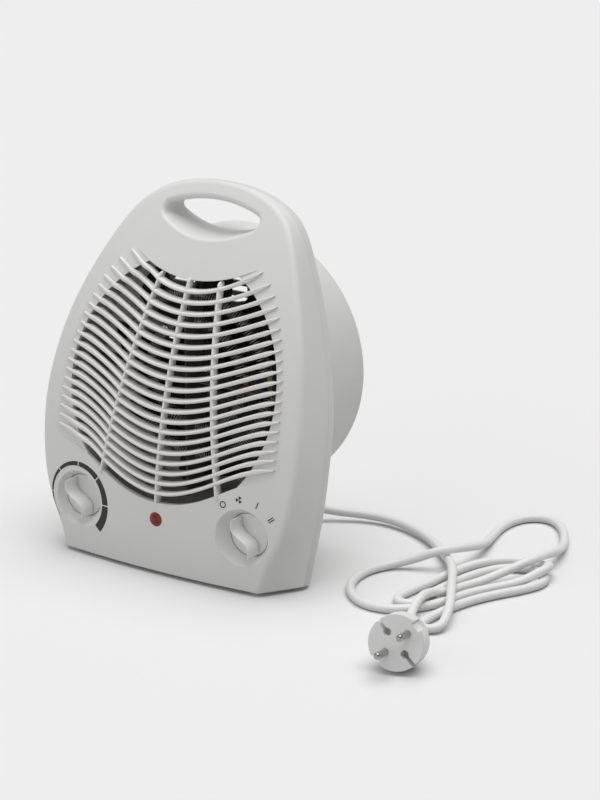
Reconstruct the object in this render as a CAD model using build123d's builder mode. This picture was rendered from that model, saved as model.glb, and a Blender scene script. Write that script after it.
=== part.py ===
"""Free-standing fan heater with a leaning domed front, a drum behind it and a mains cord."""

import math
import os

from build123d import *

os.makedirs("parts", exist_ok=True)

# Casing, in millimetres and degrees: +X right, +Y to the back, +Z up, floor at zero
LEAN = 11.31
HEAD_Y = -8.5
HEAD_Z = 91.6
HEAD_DEPTH = 44.1
DOME_R_UP = 385.0
DOME_R_SIDE = 744.0
FACE_PLANE = 46.0
WALL = 2.2
RECESS = 2.0
RECESS_FLOOR = 1.6
FACE_WALL = RECESS + RECESS_FLOOR
BASE_Z = 3.0
EDGE_ROUND = 5.0

# Right half of the outline at the seam and at the face, from below the base to the top
SEAM_HALF = [
    (99.5, -108), (102, -78), (105.5, -40), (106, -10), (104.8, 26), (96.5, 70),
    (86.6, 103.6), (76.1, 130.1), (60.8, 155.5), (33, 170), (0, 174),
]
FACE_HALF = [
    (64, -108), (82.5, -78), (98, -56), (106, -30), (109.2, 3), (106.8, 34),
    (102.2, 61), (85, 107), (68.5, 132.5), (40, 149.5), (0, 155),
]

# Drum, rear rim, rear foot and carrying slot
AXIS_Z = 131.8
DRUM_R = 94.5
DRUM_BACK = 60.1
DRUM_ROUND = 5.0
RIM = 11.0
RIM_ROUND = 6.0
FOOT_HALF = 62.0
FOOT_TOP = 48.0
FOOT_BACK = 42.0
SLOT_GAP = 0.7
SLOT_HALF = 44.0
SLOT_END_Z = 241.0
SLOT_TOP = 250.0
SLOT_ROUND = 4.0
SLOT_LIP = 3.0
INTAKE_R = 80.0
INTAKE_HUB_R = 36.0
INTAKE_PITCH = 8.0
INTAKE_BAR = 3.6
INTAKE_SPINE = 8.0

# Grille: ribs that sag in the middle and run out to points on a sunk field
RIBS = 20
RIB_TOP_Z = 201.6
RIB_BOTTOM_Z = 53.0
RIB_HIGH = 3.1
RIB_DEEP = 7.3
RIB_PROUD = 0.5
RIB_RISE_TOP = 18.5
RIB_RISE_BOTTOM = 32.2
RIB_WAVE = 0.85
RIB_POINT = 0.16
RIB_TIP = 0.3
BAR_WIDE = 2.2
BAR_SETBACK = 1.5
BAR_TOP_X = 24.2
BAR_TOP_Z = 204.7
BAR_BOTTOM_X = 49.5
BAR_BOTTOM_Z = 68.5
FIELD_R_UP = 484.0
FIELD_R_SIDE = 2507.0
FIELD_DEPTH = 40.3
FIELD_SHIFT = -6.2
FIELD_SPARE = 6.0
FIELD_SIDE = [(49, 217), (65.9, 204.3), (77.5, 184.6), (86.2, 157.4), (91, 130), (92, 105), (92, 84)]
OPENING_R = 85.0
FIT = 0.1

# Mica tunnel, boards and heating coils
MICA = 1.0
COLLAR_WALL = 2.0
TUNNEL_BACK = 0.0
BOARD_FRONT = -22.0
BOARD_GAP = 0.3
COIL_RADII = (38.0, 58.0)
COIL_CURLS = (38, 60)
COIL_Y = -8.0
CURL_R = 4.5
WIRE_D = 0.9
COIL_HOLE = 5.6
COIL_OPEN = 8.0
TERMINAL_WIDE = 4.0
TERMINAL_THICK = 1.2
CUTOUT_X = 48.0
CUTOUT_SIZE = (8.0, 8.0, 4.0)

# Motor and fan
SHAFT_R = 2.0
RUNNING_FIT = 0.05
CORE_SIZE = 50.0
CORE_DEEP = 16.0
COIL_WINDOW = 10.0
COIL_LIMB = 10.0
WINDING_BUILD = 5.0
ROTOR_R = 15.5
AIR_GAP = 0.5
BOLT_X = 20.5
BOLT_R = 1.5
BOLT_HOLE_R = 1.6
BOLT_HEAD_R = 2.8
BOSS_R = 4.0
BOSS_LONG = 4.0
BRACKET_DEEP = 2.0
STANDOFF = 6.0
BUSH_R = 5.0
BUSH_LONG = 6.0
FAN_R = 80.0
FAN_HUB_R = 14.0
FAN_HUB_LONG = 13.0
FAN_BLADES = 8
BLADE_ROOT_WIDE = 30.0
BLADE_TIP_WIDE = 56.0
BLADE_THICK = 1.8
BLADE_PITCH = 24.0
FAN_CLEAR = 1.4

# Knobs, switch, thermostat and lamp
KNOB_X = 70.5
KNOB_Z = 41.2
PANEL_Y_AT_KNOB = -55.1
DISH_R = 20.2
DISH_FLOOR_R = 15.6
DISH_DEEP = 7.0
KNOB_R = 15.0
KNOB_DISC = 2.4
KNOB_GRIP_HIGH = 12.0
KNOB_GRIP_WIDE = 5.0
KNOB_GRIP_ANGLE = 27.0
KNOB_GRIP_BASE = 8.0
KNOB_GRIP_SWAY = 3.2
KNOB_GAP = 0.5
SPINDLE_R = 3.0
SPINDLE_HOLE_R = 3.1
CONTROL_SIZE = 30.0
CONTROL_DEEP = 18.0
LAMP_Z = 40.9
LAMP_R = 5.2
LAMP_STEM_R = 4.0
LAMP_PROUD = 1.2
LAMP_BODY_LONG = 12.0
LAMP_NOTCH = 12.0
PANEL_Y_AT_LAMP = -58.9

# Feet and screws
FOOT_X = 76.0
FOOT_FRONT_Y = -46.0
FOOT_REAR_X = 52.0
FOOT_REAR_Y = 34.0
FOOT_PAD_X = 7.0
FOOT_PAD_Y = 9.0
SCREW_R = 1.7
SCREW_HOLE_R = 1.75
SCREW_HEAD_R = 3.6
SCREW_HEAD = 2.0
SCREW_GRIP = 14.0
POST_R = 4.5
SCREW_SPOTS = [(92, -62), (70, 117)]

# Mains cord, gland and plug
CORD_D = 6.2
GLAND_X = 20.0
GLAND_Z = 20.0
GLAND_NECK_R = 5.2
GLAND_FLANGE_R = 7.5
GLAND_FLANGE = 2.0
GLAND_OUT = 17.5
GLAND_TIP_R = 4.3
CLAMP_Y = 31.0
CLAMP_LONG = 8.0
CLAMP_WIDE = 26.0
CLAMP_HIGH = 5.0
CLAMP_SCREW_X = 8.5
WIRE_R = 1.1
PLUG_FACE = (226.6, -109.6, 20.9)
PLUG_AXIS = (0.262, -0.937, 0.233)
PLUG_ROLL = 44.0
PLUG_R = 18.4
PLUG_DISC = 13.0
PLUG_LONG = 37.3
PLUG_TAIL_R = 5.4
PLUG_LEAD = 8.0
PIN_R = 2.4
PIN_LONG = 19.0
PIN_PITCH = 19.0
PIN_SEAT = 8.0
PIN_ROUND = 1.9
NOTCH_R = 2.6
NOTCH_IN = 9.0
NOTCH_DEEP = 9.0
FLANK_WIDE = 7.0
FLANK_DEEP = 2.2

# Cord route from the clamp inside the foot to the plug
CORD_ROUTE = [
    (20, 28, 20), (20, 67, 20), (24, 81, 15), (33, 91, 10),
    (46, 99.5, 7.2), (62, 108, 5.8), (80, 111.5, 5.2), (100, 108, 5), (120, 99, 5),
    (137, 87, 5.1), (151, 73.5, 5.6), (162.5, 61, 8), (173, 48, 11),
    (184, 31, 10.6), (193, 14, 10.4), (203, -3, 10.2), (211, -19, 8.5), (217, -38, 4.5),
    (208.5, -44.5, 3.2), (200, -38.5, 3.2), (200.5, -20, 3.2), (203, -2, 3.2), (208, 17, 3.2),
    (217, 36, 3.2), (228, 54, 3.2), (233, 70, 3.2), (227, 84, 3.2), (212, 88, 3.2),
    (197, 81, 3.2), (187.5, 65, 3.2), (182.5, 45, 3.2), (179.5, 24, 3.2), (178.5, 4, 3.2),
    (179.5, -9.5, 3.2), (171.2, -15, 3.2), (163, -9, 3.2), (164.5, 10, 3.2), (168.5, 32, 3.2),
    (171, 54, 3.2), (176, 76, 3.2), (187, 92, 3.2), (203, 99, 3.2), (218.5, 97, 3.7),
    (229, 87, 9.9), (229.5, 73, 10.2), (220, 59, 4.5), (208, 43, 3.2), (199.5, 26, 3.2),
    (195.5, 9, 3.2), (189.5, -7, 3.2), (180, -21, 3.2), (167, -29.5, 3.2), (151, -30, 3.2),
    (136.5, -21.5, 3.2), (125.5, -8, 3.2), (120, 9, 3.2), (121, 27, 3.2), (129, 42, 3.6),
    (142, 50, 7.6), (155, 56, 14), (165, 65.5, 15.4), (169, 82, 12.4), (166, 105, 6),
    (158.5, 128, 3.2), (154.5, 148, 3.2), (156, 165, 3.2), (163.5, 177, 3.2), (176, 180.5, 3.2),
    (189, 173, 3.2), (201, 157, 3.2), (211, 137, 3.8), (218, 116, 8.5), (219, 97, 12.4),
    (214, 79, 11.6), (205, 63.5, 7.4), (197, 48, 4), (190, 33, 3.3), (186.5, 17, 3.6),
    (185, 2, 9.2), (185.5, -12, 11.2), (188, -27, 7.4), (194, -41, 4), (201.5, -53, 3.6),
]

# A piece that starts at its plane and runs along the plane's normal, or that ends there
FROM_PLANE = (Align.CENTER, Align.CENTER, Align.MIN)
TO_PLANE = (Align.CENTER, Align.CENTER, Align.MAX)

# Plane of the seam, leaning back, with its normal to the front
tilt = math.radians(LEAN)
head = Plane(origin=(0, HEAD_Y, HEAD_Z), x_dir=(1, 0, 0), z_dir=(0, -math.cos(tilt), math.sin(tilt)))


def facing(y, x=0.0, z=0.0):
    """Upright plane at depth y whose normal points to the front, with +X to the right and Z up."""
    return Plane(origin=(x, y, z), x_dir=(1, 0, 0), z_dir=(0, -1, 0))


def inset(points, margin):
    """Points of a half outline moved inward by margin, square to the outline at each point."""
    moved = []
    for i, (x, h) in enumerate(points):
        x0, h0 = points[max(i - 1, 0)]
        x1, h1 = points[i + 1] if i + 1 < len(points) else (-points[i - 1][0], points[i - 1][1])
        run = math.hypot(x1 - x0, h1 - h0)
        moved.append((x - margin * (h1 - h0) / run, h + margin * (x1 - x0) / run))
    moved[-1] = (0, moved[-1][1])
    return moved


def whole(points, margin):
    """Both halves of an outline, from the right foot over the top to the left foot."""
    half = inset(points, margin)
    return half + [(-x, h) for x, h in reversed(half[:-1])]


def outline_sketch(plane, points, margin):
    """Spline over the outline, closed by a straight line below the base."""
    ring = whole(points, margin)
    with BuildSketch(plane) as drawn:
        with BuildLine():
            Spline(*ring)
            Line(ring[-1], ring[0])
        make_face()
    return drawn.sketch


def dome(margin, up_r=DOME_R_UP, side_r=DOME_R_SIDE, depth=HEAD_DEPTH, shift=0.0):
    """Block behind the bulged front panel, or behind another bulge, with its face set back by margin."""
    reach = 200.0
    sweep_angle = 34.0
    axis_at = head.origin + head.y_dir * shift - head.z_dir * (side_r - depth)
    half = math.radians(sweep_angle / 2)
    across = head.x_dir * math.cos(half) + head.z_dir * math.sin(half)
    start = Plane(origin=axis_at, x_dir=head.y_dir, z_dir=across)
    radius = up_r - margin
    centre = side_r - up_r
    edge = centre + math.sqrt(radius**2 - reach**2)
    back = side_r - 3 * HEAD_DEPTH
    with BuildPart() as block:
        with BuildSketch(start):
            with BuildLine():
                ThreePointArc((-reach, edge), (0, centre + radius), (reach, edge))
                Polyline((reach, edge), (reach, back), (-reach, back), (-reach, edge))
            make_face()
        revolve(axis=Axis(axis_at, head.y_dir), revolution_arc=sweep_angle)
    return block.part


recessed_dome = dome(RECESS)
field_dome = dome(0, FIELD_R_UP, FIELD_R_SIDE, FIELD_DEPTH, FIELD_SHIFT)


def head_block(margin, face_margin):
    """Solid front of the casing, from the seam to the dome, set in by the two margins."""
    with BuildPart() as block:
        loft(sections=[
            outline_sketch(head, SEAM_HALF, margin),
            outline_sketch(head.offset(FACE_PLANE), FACE_HALF, margin),
        ])
        add(dome(face_margin), mode=Mode.INTERSECT)
        split(bisect_by=Plane.XY.offset(BASE_Z + margin), keep=Keep.TOP)
    return block.part


def slot_prism(margin):
    """Carrying slot through the top of the casing, grown outward by margin."""
    low = AXIS_Z + DRUM_R + SLOT_GAP
    with BuildPart() as prism:
        with BuildSketch(facing(DRUM_BACK)):
            with BuildLine():
                ThreePointArc((-SLOT_HALF, SLOT_END_Z), (0, low), (SLOT_HALF, SLOT_END_Z))
                ThreePointArc((SLOT_HALF, SLOT_END_Z), (0, SLOT_TOP), (-SLOT_HALF, SLOT_END_Z))
            make_face()
            fillet(vertices(), SLOT_ROUND)
            if margin:
                offset(amount=margin)
        extrude(amount=2 * DRUM_BACK)
    return prism.part


def field_prism(start_y, reach, opening=False):
    """Prism of the grille's sunk field, arc above and wave below, or of the round opening inside it."""
    right = [(x + FIELD_SPARE, z) for x, z in FIELD_SIDE]
    left = [(-x, z) for x, z in reversed(right)]
    with BuildPart() as prism:
        with BuildSketch(facing(start_y)):
            with BuildLine():
                ThreePointArc(left[-1], (0, RIB_TOP_Z), right[0])
                Spline(*right)
                Spline(right[-1], (0, RIB_BOTTOM_Z), tangents=[(-1, -0.05), (-1, 0)])
                Spline((0, RIB_BOTTOM_Z), left[0], tangents=[(-1, 0), (-1, 0.05)])
                Spline(*left)
            make_face()
            if opening:
                with Locations((0, AXIS_Z)):
                    Circle(OPENING_R, mode=Mode.INTERSECT)
        extrude(amount=reach)
    return prism.part


# Front shell: domed panel with a sunk field, knob dishes, lamp hole and half of the carrying slot
dish_floor = PANEL_Y_AT_KNOB + DISH_DEEP
well_floor = dish_floor + KNOB_DISC + KNOB_GAP
control_front = well_floor + WALL
dish_slope = (DISH_R - DISH_FLOOR_R) / DISH_DEEP
tunnel_out = OPENING_R + MICA
front_reach = DRUM_BACK - PANEL_Y_AT_LAMP

with BuildPart() as front_cavity:
    add(head_block(WALL, FACE_WALL))
    add(slot_prism(WALL), mode=Mode.SUBTRACT)

with BuildPart() as sunk_field:
    add(field_prism(TUNNEL_BACK, front_reach))
    add(field_dome, mode=Mode.SUBTRACT)

with BuildPart() as collar:
    with BuildSketch(facing(TUNNEL_BACK, 0, AXIS_Z)):
        Circle(tunnel_out + FIT + COLLAR_WALL)
        Circle(tunnel_out + FIT, mode=Mode.SUBTRACT)
    extrude(amount=front_reach)
    with Locations((0, TUNNEL_BACK, LAMP_Z)):
        Box(LAMP_NOTCH, 2 * front_reach, LAMP_NOTCH, mode=Mode.SUBTRACT)
    add(recessed_dome, mode=Mode.INTERSECT)

with BuildPart() as dish_backs:
    for side in (-1, 1):
        with Locations(facing(control_front, side * KNOB_X, KNOB_Z)):
            Cylinder(DISH_FLOOR_R + WALL, control_front - dish_floor, align=FROM_PLANE)
        with Locations(facing(dish_floor, side * KNOB_X, KNOB_Z)):
            Cone(DISH_FLOOR_R + WALL, DISH_R + WALL, DISH_DEEP, align=FROM_PLANE)
    add(recessed_dome, mode=Mode.INTERSECT)

with BuildPart() as front_posts:
    for x, h in SCREW_SPOTS:
        with BuildSketch(head):
            with Locations((x, h), (-x, h)):
                Circle(POST_R)
        extrude(amount=HEAD_DEPTH)
    add(recessed_dome, mode=Mode.INTERSECT)

with BuildPart() as front_shell:
    add(head_block(0, 0))
    panel = front_shell.faces().filter_by(GeomType.REVOLUTION)[0]
    fillet(panel.edges().filter_by(lambda e: e.center().Z > BASE_Z + WALL), EDGE_ROUND)
    add(front_cavity.part, mode=Mode.SUBTRACT)
    add(collar.part)
    add(dish_backs.part)
    add(front_posts.part)
    add(slot_prism(0), mode=Mode.SUBTRACT)
    fillet(front_shell.edges(Select.LAST).filter_by(GeomType.BSPLINE), SLOT_LIP)
    add(sunk_field.part, mode=Mode.SUBTRACT)
    add(field_prism(TUNNEL_BACK, front_reach, opening=True), mode=Mode.SUBTRACT)
    for side in (-1, 1):
        with Locations(facing(dish_floor, side * KNOB_X, KNOB_Z)):
            Cone(DISH_FLOOR_R, DISH_FLOOR_R + 2 * DISH_DEEP * dish_slope, 2 * DISH_DEEP,
                 align=FROM_PLANE, mode=Mode.SUBTRACT)
        with Locations(facing(well_floor, side * KNOB_X, KNOB_Z)):
            Cylinder(DISH_FLOOR_R, well_floor - dish_floor, align=FROM_PLANE,
                     mode=Mode.SUBTRACT)
            Cylinder(SPINDLE_HOLE_R, 3 * WALL, mode=Mode.SUBTRACT)
    with Locations(facing(PANEL_Y_AT_LAMP, 0, LAMP_Z)):
        Cylinder(LAMP_STEM_R + FIT, 4 * FACE_WALL, mode=Mode.SUBTRACT)
    for x, h in SCREW_SPOTS:
        with BuildSketch(head):
            with Locations((x, h), (-x, h)):
                Circle(SCREW_HOLE_R)
        extrude(amount=SCREW_GRIP, mode=Mode.SUBTRACT)
front_shell.part.label = "front_shell"
export_step(front_shell.part, "parts/front_shell.step")


# Front grille: ribs and three bars, flush with the panel and seated on its sunk field
def tip_at(z):
    """Half width of the sunk field at height z."""
    for (x0, z0), (x1, z1) in zip(FIELD_SIDE, FIELD_SIDE[1:]):
        if z1 <= z <= z0:
            return x0 + (x1 - x0) * (z0 - z) / (z0 - z1)
    return FIELD_SIDE[0][0]


def rib_edge(index, side):
    """Upper (+1) or lower (-1) edge of one rib, from its left point to its right point."""
    share = index / (RIBS + 1)
    middle = RIB_TOP_Z + (RIB_BOTTOM_Z - RIB_TOP_Z) * share
    rise = RIB_RISE_TOP + (RIB_RISE_BOTTOM - RIB_RISE_TOP) * share
    wave = RIB_WAVE * share
    tip = tip_at(middle + rise)
    points = []
    for t in (-1, -1 + RIB_POINT, -0.5, 0, 0.5, 1 - RIB_POINT, 1):
        lift = (1 - wave) * t * t + wave * (1 - math.cos(math.pi * t)) / 2
        half = RIB_TIP if abs(t) == 1 else RIB_HIGH / 2
        points.append((t * tip, middle + rise * lift + side * half))
    return points


proud_dome = dome(-RIB_PROUD)
with BuildPart() as grille_depth:
    with BuildSketch(facing(DRUM_BACK, 0, AXIS_Z)):
        Circle(OPENING_R - FIT)
    extrude(amount=2 * front_reach)
    add(dome(0), mode=Mode.INTERSECT)
    add(dome(RIB_DEEP), mode=Mode.SUBTRACT)


def rib(index):
    """One rib: deep across the opening, and only as deep as the sunk field beyond it."""
    top = rib_edge(index, 1)
    low = rib_edge(index, -1)
    with BuildSketch(facing(TUNNEL_BACK)) as outline:
        with BuildLine():
            Spline(*top)
            Line(top[-1], low[-1])
            Spline(*low)
            Line(low[0], top[0])
        make_face()
    with BuildPart() as on_field:
        extrude(outline.sketch, amount=front_reach)
        add(proud_dome, mode=Mode.INTERSECT)
        add(field_dome, mode=Mode.SUBTRACT)
    with BuildPart() as across_opening:
        extrude(outline.sketch, amount=front_reach)
        add(grille_depth.part, mode=Mode.INTERSECT)
    with BuildPart() as strip:
        add(on_field.part)
        add(across_opening.part)
    return strip.part


with BuildPart() as bars:
    with BuildSketch(facing(TUNNEL_BACK)):
        with Locations((0, (RIB_TOP_Z + RIB_BOTTOM_Z) / 2)):
            Rectangle(BAR_WIDE, RIB_TOP_Z - RIB_BOTTOM_Z + 2 * RIB_DEEP)
        slant = math.degrees(math.atan2(BAR_BOTTOM_X - BAR_TOP_X, BAR_TOP_Z - BAR_BOTTOM_Z))
        long = math.hypot(BAR_BOTTOM_X - BAR_TOP_X, BAR_TOP_Z - BAR_BOTTOM_Z) + 2 * RIB_DEEP
        for side in (-1, 1):
            with Locations((side * (BAR_TOP_X + BAR_BOTTOM_X) / 2, (BAR_TOP_Z + BAR_BOTTOM_Z) / 2)):
                Rectangle(BAR_WIDE, long, rotation=side * slant)
    extrude(amount=front_reach)
    add(dome(BAR_SETBACK), mode=Mode.INTERSECT)
    add(grille_depth.part, mode=Mode.INTERSECT)
    add(field_prism(TUNNEL_BACK, front_reach), mode=Mode.INTERSECT)

with BuildPart() as front_grille:
    add(bars.part)
    add([rib(i) for i in range(1, RIBS + 1)])
front_grille.part.label = "front_grille"
export_step(front_grille.part, "parts/front_grille.step")


# Rear shell: rim, drum with slotted back, rear foot, and the other half of the carrying slot
def rear_block(margin):
    """Solid back of the casing behind the seam, set in by margin."""
    with BuildPart() as block:
        extrude(outline_sketch(head, SEAM_HALF, margin), amount=-(RIM - margin))
        rear_face = block.faces().sort_by(Axis(head.origin, head.z_dir))[0]
        fillet(rear_face.edges().filter_by(GeomType.BSPLINE), RIM_ROUND - margin)
        with BuildSketch(facing(DRUM_BACK - margin, 0, AXIS_Z)):
            Circle(DRUM_R - margin)
        extrude(amount=front_reach)
        drum_rim = block.edges().filter_by(GeomType.CIRCLE).sort_by(Axis.Y)[-1]
        fillet(drum_rim, DRUM_ROUND - margin)
        with BuildSketch(Plane.XY.offset(BASE_Z + margin)):
            with Locations((0, FOOT_BACK - margin)):
                Rectangle(2 * (FOOT_HALF - margin), front_reach, align=(Align.CENTER, Align.MAX))
        extrude(amount=FOOT_TOP - BASE_Z - 2 * margin)
        split(bisect_by=head, keep=Keep.BOTTOM)
        split(bisect_by=Plane.XY.offset(BASE_Z + margin), keep=Keep.TOP)
    return block.part


back_inside = DRUM_BACK - WALL
boss_front = back_inside - BOSS_LONG
cord_under = GLAND_Z - CORD_D / 2
cord_over = GLAND_Z + CORD_D / 2

with BuildPart() as rear_cavity:
    add(rear_block(WALL))
    add(slot_prism(WALL), mode=Mode.SUBTRACT)

with BuildPart() as rear_shell:
    add(rear_block(0))
    add(rear_cavity.part, mode=Mode.SUBTRACT)
    add(slot_prism(0), mode=Mode.SUBTRACT)
    with BuildSketch(facing(DRUM_BACK, 0, AXIS_Z)):
        Circle(INTAKE_R)
        Circle(INTAKE_HUB_R, mode=Mode.SUBTRACT)
        Rectangle(INTAKE_SPINE, 2 * INTAKE_R, mode=Mode.SUBTRACT)
        with GridLocations(0, INTAKE_PITCH, 1, int(2 * INTAKE_R / INTAKE_PITCH) + 1):
            Rectangle(2 * INTAKE_R, INTAKE_BAR, mode=Mode.SUBTRACT)
    extrude(amount=2 * WALL, mode=Mode.SUBTRACT)
    with Locations(facing(back_inside, -BOLT_X, AXIS_Z), facing(back_inside, BOLT_X, AXIS_Z)):
        Cylinder(BOSS_R, BOSS_LONG, align=FROM_PLANE)
        Cylinder(BOLT_HOLE_R, BOSS_LONG, align=FROM_PLANE, mode=Mode.SUBTRACT)
    for x, h in SCREW_SPOTS:
        with BuildSketch(head):
            with Locations((x, h), (-x, h)):
                Circle(POST_R)
        extrude(amount=-(RIM - WALL))
        with BuildSketch(head):
            with Locations((x, h), (-x, h)):
                Circle(SCREW_HOLE_R)
        extrude(amount=-RIM, mode=Mode.SUBTRACT)
    with BuildSketch(Plane.XY.offset(BASE_Z + WALL)):
        with Locations((GLAND_X, CLAMP_Y)):
            Rectangle(CLAMP_WIDE, CLAMP_LONG)
    extrude(amount=cord_over - BASE_Z - WALL)
    with Locations((GLAND_X, CLAMP_Y, cord_under)):
        Box(CORD_D + 2 * FIT, CLAMP_LONG, CORD_D, align=FROM_PLANE,
            mode=Mode.SUBTRACT)
    with Locations((GLAND_X - CLAMP_SCREW_X, CLAMP_Y, cord_over),
                   (GLAND_X + CLAMP_SCREW_X, CLAMP_Y, cord_over)):
        Cylinder(SCREW_HOLE_R, CORD_D, align=TO_PLANE, mode=Mode.SUBTRACT)
    with Locations(facing(FOOT_BACK, GLAND_X, GLAND_Z)):
        Cylinder(GLAND_NECK_R + FIT, 3 * WALL, mode=Mode.SUBTRACT)
rear_shell.part.label = "rear_shell"
export_step(rear_shell.part, "parts/rear_shell.step")


# Casing screws from the rear rim into the front posts
with BuildPart() as casing_screws:
    for x, h in SCREW_SPOTS:
        with BuildSketch(head.offset(-RIM)):
            with Locations((x, h), (-x, h)):
                Circle(SCREW_R)
        extrude(amount=RIM + SCREW_GRIP - SCREW_HEAD)
        with BuildSketch(head.offset(-RIM)):
            with Locations((x, h), (-x, h)):
                Circle(SCREW_HEAD_R)
        extrude(amount=-SCREW_HEAD)
casing_screws.part.label = "casing_screws"
export_step(casing_screws.part, "parts/casing_screws.step")


# Feet under the front and the rear of the base
with BuildPart() as feet:
    with BuildSketch():
        with Locations((-FOOT_X, FOOT_FRONT_Y), (FOOT_X, FOOT_FRONT_Y),
                       (-FOOT_REAR_X, FOOT_REAR_Y), (FOOT_REAR_X, FOOT_REAR_Y)):
            RectangleRounded(FOOT_PAD_X, FOOT_PAD_Y, FOOT_PAD_X / 4)
    extrude(amount=BASE_Z)
feet.part.label = "feet"
export_step(feet.part, "parts/feet.step")


# Mica tunnel behind the opening and the two crossed boards that carry the coils
board_reach = OPENING_R - 3 * FIT
with BuildPart() as mica_tunnel:
    with BuildSketch(facing(TUNNEL_BACK, 0, AXIS_Z)):
        Circle(tunnel_out)
        Circle(OPENING_R, mode=Mode.SUBTRACT)
    extrude(amount=front_reach)
    add(dome(FACE_WALL), mode=Mode.INTERSECT)
mica_tunnel.part.label = "mica_tunnel"
export_step(mica_tunnel.part, "parts/mica_tunnel.step")

board_middle = (BOARD_FRONT + TUNNEL_BACK) / 2
board_names = ("mica_board_level", "mica_board_upright")
for name, turn in zip(board_names, (0, 90)):
    flat = Plane(origin=(0, 0, AXIS_Z), x_dir=(1, 0, 0) if turn == 0 else (0, 0, 1),
                 z_dir=(0, 0, 1) if turn == 0 else (-1, 0, 0))
    lap_from = BOARD_FRONT if turn else board_middle
    with BuildPart() as board:
        with BuildSketch(flat):
            sign = 1 if flat.y_dir.Y > 0 else -1
            with Locations((0, sign * (BOARD_FRONT + TUNNEL_BACK - MICA) / 2)):
                Rectangle(2 * board_reach, TUNNEL_BACK - BOARD_FRONT - MICA)
            with Locations((0, sign * (lap_from + (TUNNEL_BACK - BOARD_FRONT) / 4))):
                Rectangle(MICA + FIT, (TUNNEL_BACK - BOARD_FRONT) / 2 + FIT, mode=Mode.SUBTRACT)
            for ring in COIL_RADII:
                with Locations((-ring, sign * COIL_Y), (ring, sign * COIL_Y)):
                    Circle(COIL_HOLE, mode=Mode.SUBTRACT)
        extrude(amount=MICA / 2, both=True)
        add(dome(RIB_DEEP + BOARD_GAP), mode=Mode.INTERSECT)
    board.part.label = name
    export_step(board.part, f"parts/{name}.step")


# Heating coils: each an unbroken curled wire that runs round a ring, from terminal to terminal
def curl_points(ring, curls):
    """Points and directions at every half curl, straight along the axis at both ends."""
    first = math.radians(COIL_OPEN)
    span = 2 * math.pi - 2 * first
    steps = 2 * curls
    out = []
    for k in range(steps + 1):
        angle = first + span * k / steps
        phase = math.pi * k
        radial = Vector(math.cos(angle), 0, math.sin(angle))
        along = Vector(-math.sin(angle), 0, math.cos(angle))
        reach = ring + CURL_R * math.cos(phase)
        place = Vector(0, COIL_Y, AXIS_Z) + radial * reach
        way = Vector(0, 1, 0) * (CURL_R * math.cos(phase)) + along * (reach * span / steps / math.pi)
        if k in (0, steps):
            way = Vector(0, 1, 0)
        out.append((place, way.normalized()))
    return out


def biarc_joint(p0, t0, p1, t1):
    """Point where two tangent arcs meet, and the direction there."""
    gap = p1 - p0
    both = t0 + t1
    spread = 2 * (1 - t0.dot(t1))
    step = (math.sqrt(gap.dot(both) ** 2 + spread * gap.dot(gap)) - gap.dot(both)) / spread
    from_start = p0 + t0 * step
    from_end = p1 - t1 * step
    return (from_start + from_end) * 0.5, (from_end - from_start).normalized()


def least_gap(points, diameter, skip):
    """Least distance between the surfaces of a tube's stretches that are more than skip apart along it."""
    walked = [0.0]
    for a, b in zip(points, points[1:]):
        walked.append(walked[-1] + (b - a).length)
    least = math.inf
    for i, a in enumerate(points):
        for j in range(i + 1, len(points)):
            if walked[j] - walked[i] > skip:
                least = min(least, (points[j] - a).length)
    return least - diameter


coil_names = ("inner_heating_coil", "outer_heating_coil")
for name, ring, curls in zip(coil_names, COIL_RADII, COIL_CURLS):
    stations = curl_points(ring, curls)
    with BuildPart() as coil:
        with BuildLine() as coil_path:
            Line(stations[0][0] - stations[0][1] * WIRE_D, stations[0][0])
            for (p0, t0), (p1, t1) in zip(stations, stations[1:]):
                joint, way = biarc_joint(p0, t0, p1, t1)
                TangentArc(p0, joint, tangent=t0)
                TangentArc(joint, p1, tangent=way)
            Line(stations[-1][0], stations[-1][0] + stations[-1][1] * WIRE_D)
        start = coil_path.wires()[0]
        with BuildSketch(Plane(origin=start @ 0, z_dir=start % 0)):
            Circle(WIRE_D / 2)
        sweep(path=start)
    sampled = [start @ (k / (8 * curls)) for k in range(8 * curls + 1)]
    print(name, "least gap", round(least_gap(sampled, WIRE_D, 2 * math.pi * CURL_R / 2), 2))
    print(name, "volume", round(coil.part.volume, 1), "of", round(math.pi * WIRE_D**2 / 4 * start.length, 1))
    coil.part.label = name
    export_step(coil.part, f"parts/{name}.step")

with BuildPart() as coil_terminals:
    for ring in COIL_RADII:
        reach = ring + CURL_R
        x = reach * math.cos(math.radians(COIL_OPEN))
        rise = reach * math.sin(math.radians(COIL_OPEN)) + WIRE_D
        with Locations((x, COIL_Y - WIRE_D, AXIS_Z + MICA / 2)):
            Box(TERMINAL_WIDE, TERMINAL_THICK, rise, align=(Align.CENTER, Align.MAX, Align.MIN))
        with Locations((x, COIL_Y + WIRE_D, AXIS_Z - MICA / 2)):
            Box(TERMINAL_WIDE, TERMINAL_THICK, rise, align=(Align.CENTER, Align.MIN, Align.MAX))
coil_terminals.part.label = "coil_terminals"
export_step(coil_terminals.part, "parts/coil_terminals.step")

with BuildPart() as thermal_cutout:
    with Locations((-CUTOUT_X, BOARD_FRONT + MICA, AXIS_Z + MICA / 2)):
        Box(*CUTOUT_SIZE, align=(Align.CENTER, Align.MIN, Align.MIN))
    fillet(thermal_cutout.edges().filter_by(Axis.Y), MICA)
thermal_cutout.part.label = "thermal_cutout"
export_step(thermal_cutout.part, "parts/thermal_cutout.step")


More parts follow.
